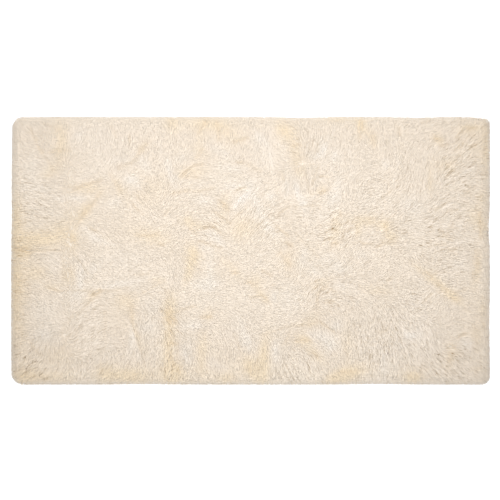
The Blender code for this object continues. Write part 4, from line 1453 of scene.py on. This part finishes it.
class LockTree(NodeTree):
    """The tree that scatters, turns, bends and maps the locks, with its sizes as named inputs.

    Attributes:
        TRIES: How many places are tried for a root on each square as wide as their spacing.
        UPRIGHT: What stands the locks up on a slope, against the slope's unit normal.
        LAYER_GAP: How far apart different clumps read the noise of their streaks.
        SMALLEST: A lock's least share of its length, width and height.
        LARGEST: Its greatest.
    """

    TRIES = 5.0
    UPRIGHT = (0.0, 0.0, 0.8)
    LAYER_GAP = 90.0
    SMALLEST = (0.90, 0.88, 0.98)
    LARGEST = (1.10, 1.10, 0.98)

    def __init__(self, sizes: dict[str, float]) -> None:
        """Build the whole tree.

        Args:
            sizes: The pile's sizes, by the names of the inputs that take them.
        """
        super().__init__(bpy.data.node_groups.new("shag_locks", "GeometryNodeTree"))
        self.tree.is_modifier = True
        kinds = {"Bed": "Geometry", "Lock Shapes": "Collection", "Yarn": "Material"}
        kinds |= dict.fromkeys(("Band Start", "Band End", *sizes), "Float")
        kinds |= {"Columns": "Int", "Seed": "Int"}
        for name, kind in kinds.items():
            self.tree.interface.new_socket(name, in_out="INPUT", socket_type=f"NodeSocket{kind}")
        self.tree.interface.new_socket("Locks", in_out="OUTPUT", socket_type="NodeSocketGeometry")
        self.given = self.add("NodeGroupInput").outputs
        locks = self.mapped(self.waved(self.planted(self.roots())))
        yarn = {"Geometry": locks, "Material": self.given["Yarn"]}
        dressed = self.add("GeometryNodeSetMaterial", yarn)
        self.add("NodeGroupOutput", {"Locks": dressed.outputs[0]})

    def named(self, name: str, kind: str = "FLOAT") -> Socket:
        """Read a named attribute."""
        node = self.add("GeometryNodeInputNamedAttribute", {"Name": name}, data_type=kind)
        return node.outputs[0]

    def stored(
        self, geometry: Socket, name: str, value: Socket, kind: str = "FLOAT", domain: str = "POINT"
    ) -> Socket:
        """Store a named attribute and return the geometry.

        Args:
            geometry: The geometry to store it on.
            name: The attribute's name.
            value: Its value.
            kind: Its data type.
            domain: Its domain.

        Returns:
            The geometry with the attribute.
        """
        inputs = {"Geometry": geometry, "Name": name, "Value": value}
        node = self.add("GeometryNodeStoreNamedAttribute", inputs, data_type=kind, domain=domain)
        return node.outputs[0]

    def chance(
        self, draw: Draw, low: object = -1.0, high: object = 1.0, kind: str = "FLOAT"
    ) -> Socket:
        """Draw a random value for each element.

        Args:
            draw: What it is drawn for.
            low: The lowest value.
            high: The highest value.
            kind: The value's data type.

        Returns:
            The value.
        """
        inputs = {"Min": low, "Max": high, "Seed": int(draw)}
        node = self.add("FunctionNodeRandomValue", inputs, data_type=kind)
        return [socket for socket in node.outputs if socket.enabled][0]

    def noise(self, place: Socket, scale: object) -> bpy.types.NodeOutputs:
        """Add a soft noise with one finer layer."""
        inputs = {"Vector": place, "Scale": scale, "Detail": 1.0}
        return self.add("ShaderNodeTexNoise", inputs, noise_dimensions="3D").outputs

    def roots(self) -> Socket:
        """Scatter the roots over the bed, and clear the other bands.

        Returns:
            The roots of this band, as points.
        """
        given = self.given
        tries = self.over(self.TRIES, self.times(given["Spacing"], given["Spacing"]))
        inputs = {
            "Mesh": given["Bed"],
            "Distance Min": given["Spacing"],
            "Density Max": tries,
            "Seed": given["Seed"],
        }
        roots = self.add(
            "GeometryNodeDistributePointsOnFaces", inputs, distribute_method="POISSON"
        ).outputs
        points = self.stored(roots["Points"], "upright", roots["Normal"], "FLOAT_VECTOR")
        ahead = self.split(self.add("GeometryNodeInputPosition").outputs[0])["X"]
        before = self.math("LESS_THAN", ahead, given["Band Start"])
        after = self.math("GREATER_THAN", ahead, given["Band End"])
        others = {"Geometry": points, "Selection": self.math("MAXIMUM", before, after)}
        return self.add("GeometryNodeDeleteGeometry", others, domain="POINT").outputs[0]

    def streak(self, from_middle: Socket, label: Socket) -> Socket:
        """Make long, narrow streaks along the comb, different in each clump.

        Args:
            from_middle: The vector from the middle of the clump.
            label: A number that differs from clump to clump.

        Returns:
            The streak value at each root, from 0 to 1.
        """
        ahead = self.vector("NORMALIZE", self.named("comb", "FLOAT_VECTOR"))
        aside = self.vector("CROSS_PRODUCT", (0.0, 0.0, 1.0), ahead)
        run, across = (
            self.over(self.vector("DOT_PRODUCT", from_middle, way), self.given[size])
            for way, size in ((ahead, "Streak Length"), (aside, "Streak Width"))
        )
        layer = self.times(label, self.LAYER_GAP)
        return self.noise(self.joined(run, across, layer), 1.0)[0]

    def lie(
        self, clump: bpy.types.NodeOutputs, lot: Socket, level: Socket, scale: Socket
    ) -> Socket:
        """Turn each lock along the comb, with its clump and with a turn of its own.

        Args:
            clump: The outputs of the cells that make the clumps.
            lot: A number from 0 to 1 that a clump's locks share.
            level: The root's place on the floor.
            scale: One over the clumps' size.

        Returns:
            The lock's rotation.
        """
        clump_turn = self.times(self.minus(lot, 0.5), 2.0, self.given["Clump Turn"])
        ruffle = self.times(self.named("ruffle"), self.given["Ruffle Turn"])
        stray = self.times(self.chance(Draw.TURN), self.plus(self.given["Stray Turn"], ruffle))
        comb = {"Vector": self.named("comb", "FLOAT_VECTOR"), "Angle": self.plus(clump_turn, stray)}
        turned = self.add("ShaderNodeVectorRotate", comb, rotation_type="Z_AXIS").outputs[0]
        from_middle = self.vector("SUBTRACT", level, clump["Position"])
        inward = self.times(scale, self.times(self.given["Gather"], -1.0))
        aim = self.vector("ADD", turned, self.scaled(from_middle, inward))
        raised = self.vector("ADD", self.named("upright", "FLOAT_VECTOR"), self.UPRIGHT)
        upward = self.vector("NORMALIZE", raised)
        stand = self.add("FunctionNodeAlignRotationToVector", {"Vector": upward}, axis="Z")
        return self.add(
            "FunctionNodeAlignRotationToVector",
            {"Rotation": stand.outputs[0], "Vector": aim},
            axis="X",
            pivot_axis="Z",
        ).outputs[0]

    def planted(self, points: Socket) -> Socket:
        """Turn each lock along the comb and its clump, raise or lower it, and plant it.

        Args:
            points: The roots.

        Returns:
            The planted locks as one mesh.
        """
        given = self.given
        place = self.add("GeometryNodeInputPosition").outputs[0]
        level = self.vector("MULTIPLY", place, (1.0, 1.0, 0.0))
        scale = self.over(1.0, given["Clump"])
        clump = self.add("ShaderNodeTexVoronoi", {"Vector": level, "Scale": scale}).outputs
        lot = self.add("FunctionNodeSeparateColor", {0: clump["Color"]}).outputs
        streak = self.streak(self.vector("SUBTRACT", level, clump["Position"]), lot[1])
        from_mean = self.minus(streak, 0.5)
        lively = self.named("lively")
        streak_rise = self.times(from_mean, given["Streak Rise"])
        stray_rise = self.times(self.chance(Draw.RISE), given["Stray Rise"])
        uneven_rise = self.times(self.plus(streak_rise, stray_rise), lively)
        fold_rise = self.times(self.named("fold"), given["Fold Rise"])
        rise = self.plus(uneven_rise, fold_rise, 1.0)
        sizes = self.chance(Draw.SIZE, self.SMALLEST, self.LARGEST, "FLOAT_VECTOR")
        shapes = self.add(
            "GeometryNodeCollectionInfo",
            {"Collection": given["Lock Shapes"], "Separate Children": True, "Reset Children": True},
        ).outputs[0]
        planting = {
            "Points": points,
            "Instance": shapes,
            "Pick Instance": True,
            "Instance Index": self.chance(Draw.SHAPE, 0, len(LOCK_SHAPES) - 1, "INT"),
            "Rotation": self.lie(clump, lot[0], level, scale),
            "Scale": self.vector("MULTIPLY", sizes, self.joined(1.0, 1.0, rise)),
        }
        locks = self.add("GeometryNodeInstanceOnPoints", planting).outputs[0]
        # stray shade is the lock's own random tone; streak shade is partly tone, partly painted
        # light and shade with the streak's rise; hollow shade is painted shade
        stray_shade = self.times(self.chance(Draw.SHADE), given["Stray Shade"])
        streak_shade = self.times(from_mean, given["Streak Shade"])
        hollow = self.above_zero(self.minus(given["Hollow Share"], streak))
        hollow_shade = self.times(hollow, given["Hollow Shade"])
        shade = self.minus(self.plus(stray_shade, streak_shade), hollow_shade)
        locks = self.stored(locks, "shade", self.times(shade, lively), domain="INSTANCE")
        locks = self.stored(locks, "sink", self.chance(Draw.SINK, 0.0), domain="INSTANCE")
        number = self.add("GeometryNodeInputIndex").outputs[0]
        locks = self.stored(locks, "number", number, "INT", "INSTANCE")
        return self.add("GeometryNodeRealizeInstances", {"Geometry": locks}).outputs[0]

    def waved(self, locks: Socket) -> Socket:
        """Push the locks aside in waves that neighbours share, more towards the tip.

        Args:
            locks: The planted locks.

        Returns:
            The waved locks.
        """
        place = self.add("GeometryNodeInputPosition").outputs[0]
        noise = self.noise(place, self.over(1.0, self.given["Wave Length"]))["Color"]
        push = self.vector("SUBTRACT", noise, (0.5, 0.5, 0.5))
        amount = self.times(self.named("along"), self.given["Wave"], 2.0)
        moved = {"Geometry": locks, "Offset": self.scaled(push, amount)}
        return self.add("GeometryNodeSetPosition", moved).outputs[0]

    def mapped(self, locks: Socket) -> Socket:
        """Give each lock its own cell of the bake map.

        Args:
            locks: The waved locks.

        Returns:
            The mapped locks.
        """
        number, columns = self.named("number", "INT"), self.given["Columns"]
        corner = self.split(self.named("cell", "FLOAT_VECTOR"))
        column = self.math("MODULO", number, columns)
        row = self.math("FLOOR", self.over(number, columns))
        u, v = (
            self.over(
                self.plus(cell, self.plus(self.times(part, 1.0 - 2.0 * CELL_MARGIN), CELL_MARGIN)),
                columns,
            )
            for cell, part in ((column, corner["X"]), (row, corner["Y"]))
        )
        return self.stored(locks, BAKE_MAP, self.joined(u, v, 0.0), "FLOAT2", "CORNER")


@dataclass(frozen=True)
class LockLie:
    """How the locks are spaced, turned, raised and shaded: the named inputs of their tree.

    Attributes:
        spacing: The least distance between two roots.
        clump: The size of the clumps that locks gather into.
        clump_turn: How far a whole clump is turned from the comb, in degrees either way.
        stray_turn: How far one lock is turned from its clump, in degrees either way.
        ruffle_turn: How much further it is turned where the pile is ruffled.
        gather: How strongly a clump's tips draw together.
        streak_width: The width of the streaks that neighbouring locks form.
        streak_length: The length of those streaks.
        streak_rise: How far a streak stands above or below the rest, as a share.
        stray_rise: How far one lock stands above or below the rest, as a share.
        streak_shade: How far a streak's lightness strays, as a share: partly tone, partly painted
            light and shade.
        hollow_share: The streak value below which the yarn is darkened as painted shade of a little
            hollow.
        hollow_shade: How steeply that painted shade deepens below that value.
        stray_shade: How far one lock's lightness strays, as a share either way.
        fold_rise: How far a ridge stands above the rest, as a share.
        wave: How far the waves of the yarn push a lock aside.
        wave_length: The length of those waves.
    """

    spacing: float = 0.00230
    clump: float = 0.028
    clump_turn: float = 6.0
    stray_turn: float = 3.0
    ruffle_turn: float = 24.0
    gather: float = 0.05
    streak_width: float = 0.0024
    streak_length: float = 0.060
    streak_rise: float = 0.10
    stray_rise: float = 0.02
    streak_shade: float = 0.31
    hollow_share: float = 0.43
    hollow_shade: float = 1.72
    stray_shade: float = 0.03
    fold_rise: float = 0.10
    wave: float = 0.0020
    wave_length: float = 0.018

    def inputs(self) -> dict[str, float]:
        """Give the sizes by their inputs' names, with the turns in radians.

        Returns:
            The sizes, in the order of the fields.
        """
        return {
            name.replace("_", " ").title(): math.radians(size) if name.endswith("_turn") else size
            for name, size in vars(self).items()
        }


@dataclass
class ShagPile:
    """The long locks, set on the bed with Geometry Nodes, in bands along the length.

    Attributes:
        outline: The rug's outline.
        drape: How the rim falls.
        lie: How the locks are spaced, turned, raised and shaded.
        softness: How far the locks' normals are turned to the bed's, from 0 to 1.
        lift: How far the shared normals are turned straight up, from 0 to 1.
        bands: The number of pieces.
        columns: The number of bake cells in a row.
        seed: The seed of the roots' places.
        beyond: Where the outermost bands end, well clear of the rug.
    """

    outline: Outline
    drape: RimDrape
    lie: LockLie = LockLie()
    softness: float = 0.80
    lift: float = 0.85
    bands: int = 6
    columns: int = 161
    seed: int = 7
    beyond: float = 10.0

    def build(self, guide: bpy.types.Mesh, yarn: bpy.types.Material) -> list[bpy.types.Object]:
        """Build the locks band by band.

        Args:
            guide: The mesh that the locks are set on.
            yarn: The yarn material.

        Returns:
            One piece for each band.
        """
        group = LockTree(self.lie.inputs()).tree
        shapes = bpy.data.collections.new("lock_shapes")
        for number, shape in enumerate(LOCK_SHAPES):
            shapes.objects.link(shape.build(f"lock_shape_{number + 1}"))
        host = bpy.data.objects.new("pile_host", guide)
        bpy.context.scene.collection.objects.link(host)
        modifier = host.modifiers.new("shag_locks", "NODES")
        modifier.node_group = group
        inputs = (item for item in group.interface.items_tree if item.in_out == "INPUT")
        names = {item.name: item.identifier for item in inputs}
        settings = {
            "Lock Shapes": shapes,
            "Yarn": yarn,
            "Columns": self.columns,
            "Seed": self.seed,
            **self.lie.inputs(),
        }
        for name, value in settings.items():
            modifier[names[name]] = value
        edges = np.linspace(-self.outline.half_long, self.outline.half_long, self.bands + 1)
        edges[0], edges[-1] = -self.beyond, self.beyond
        pieces = []
        for band in range(self.bands):
            modifier[names["Band Start"]] = float(edges[band])
            modifier[names["Band End"]] = float(edges[band + 1])
            host.update_tag()
            graph = bpy.context.evaluated_depsgraph_get()
            mesh = bpy.data.meshes.new_from_object(host.evaluated_get(graph), depsgraph=graph)
            mesh.name = f"pile_{band + 1}"
            pieces.append(self.finish_band(mesh))
        for helper in (host, *shapes.objects):
            bpy.data.objects.remove(helper)
        bpy.data.collections.remove(shapes)
        return pieces

    def finish_band(self, mesh: bpy.types.Mesh) -> bpy.types.Object:
        """Let a band's locks fall over the rim, and keep it as a piece.

        Args:
            mesh: The band's locks before the rim falls.

        Returns:
            The finished band.
        """
        sink = np.zeros(len(mesh.vertices), np.float32)
        mesh.attributes["sink"].data.foreach_get("value", sink)
        points = self.drape.drape(mesh_points(mesh), sink)
        place_points(mesh, points)
        self.soften(mesh, points)
        for spare in ("number", "sink", "upright", "comb", "cell", "ruffle", "lively"):
            if spare in mesh.attributes:
                mesh.attributes.remove(mesh.attributes[spare])
        return finished_piece(mesh.name, mesh)

    def soften(self, mesh: bpy.types.Mesh, points: np.ndarray) -> None:
        """Let the locks take light as one soft surface, by turning their normals to the bed's.

        Args:
            mesh: The band's draped locks.
            points: Their points.
        """
        own = vectors_of(mesh.vertex_normals, "vector")
        bed = vectors_of(mesh.attributes["upright"].data, "vector")
        shared = (1.0 - self.lift) * bed + (0.0, 0.0, self.lift) + self.drape.facing(points)
        shared /= np.linalg.norm(shared, axis=1, keepdims=True)
        normals = self.softness * shared + (1.0 - self.softness) * own
        normals /= np.maximum(np.linalg.norm(normals, axis=1, keepdims=True), 1e-6)
        mesh.normals_split_custom_set_from_vertices(normals.tolist())


@dataclass
class Studio:
    """The plain pale floor, the soft light and the camera straight above.

    Attributes:
        rug_length: The rug's length.
        rug_share: The share of the picture's width that the rug takes.
        aside: How far the camera stands right of and behind the rug's middle.
        lens: The camera's focal length in millimetres.
        sensor: The camera's sensor width in millimetres.
        box_size: The soft box's length and width.
        box_place: Where the soft box hangs.
        box_aim: The place on the rug that it is turned to.
        key_power: The soft box's power.
        fill: The strength of the even light from all round.
        floor_half: Half of the floor's width.
        floor_gap: How far the floor lies under the rug, so that the two don't touch.
    """

    rug_length: float
    rug_share: float = 0.959
    aside: tuple[float, float] = (-0.0020, 0.0023)
    lens: float = 100.0
    sensor: float = 36.0
    box_size: tuple[float, float] = (1.8, 1.4)
    box_place: tuple[float, float, float] = (0.0, 0.31, 2.4)
    box_aim: tuple[float, float, float] = (0.0, 0.05, 0.0)
    key_power: float = 70.5
    fill: float = 0.32
    floor_half: float = 6.0
    floor_gap: float = 0.0005

    def build(self) -> None:
        """Set up the floor, the lights, the world and the camera."""
        self.floor()
        self.light()
        self.world()
        self.camera()

    def floor(self) -> None:
        """Lay the studio floor just under the rug."""
        bm = bmesh.new()
        bmesh.ops.create_grid(bm, x_segments=4, y_segments=4, size=self.floor_half)
        bmesh.ops.translate(bm, vec=(0.0, 0.0, -self.floor_gap), verts=bm.verts)
        mesh = mesh_from(bm, "floor")
        mesh.materials.append(FloorFinish().material())
        floor = bpy.data.objects.new("floor", mesh)
        bpy.context.scene.collection.objects.link(floor)

    def light(self) -> None:
        """Hang one large soft box above and behind the middle of the rug."""
        lamp = bpy.data.lights.new("soft_box", "AREA")
        lamp.shape = "RECTANGLE"
        lamp.size, lamp.size_y = self.box_size
        lamp.energy = self.key_power
        box = bpy.data.objects.new("soft_box", lamp)
        box.location = self.box_place
        aim = Vector(self.box_aim) - box.location
        box.rotation_euler = aim.to_track_quat("-Z", "Y").to_euler()
        box.visible_camera = False
        bpy.context.scene.collection.objects.link(box)

    def world(self) -> None:
        """Light the room evenly from all round."""
        world = bpy.data.worlds.new("studio")
        world.use_nodes = True
        light = {"Color": WHITE, "Strength": self.fill}
        NodeTree(world.node_tree).fill(world.node_tree.nodes["Background"], light)
        bpy.context.scene.world = world
        bpy.context.scene.view_settings.view_transform = "Standard"

    def camera(self) -> None:
        """Look straight down on the rug."""
        data = bpy.data.cameras.new("overhead")
        data.lens = self.lens
        data.sensor_width = self.sensor
        camera = bpy.data.objects.new("overhead", data)
        height = self.rug_length / self.rug_share * self.lens / self.sensor
        camera.location = (*self.aside, height)
        bpy.context.scene.collection.objects.link(camera)
        bpy.context.scene.camera = camera


def main() -> None:
    """Lay the comb field, set up the studio, then build the rug's pieces in order."""
    logging.basicConfig(level=logging.INFO, format="%(message)s")
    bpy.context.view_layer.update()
    low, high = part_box(NODE)
    outline = Outline(half_long=0.5 * (high.x - low.x), half_wide=0.5 * (high.y - low.y))
    drape = RimDrape(outline)
    bed = PileBed(outline, CombField(outline), drape)
    guide = bed.guide()
    log.info("comb field laid on %d points", len(guide.vertices))
    Studio(rug_length=high.x - low.x).build()
    log.info("studio ready")
    for piece in (
        BackingCloth(outline).build(),
        bed.build(),
        *ShagPile(outline, drape).build(guide, YarnFinish().material()),
    ):
        piece.data.calc_loop_triangles()
        log.info("%s: %d triangles", piece.name, len(piece.data.loop_triangles))


if __name__ == "__main__":
    main()
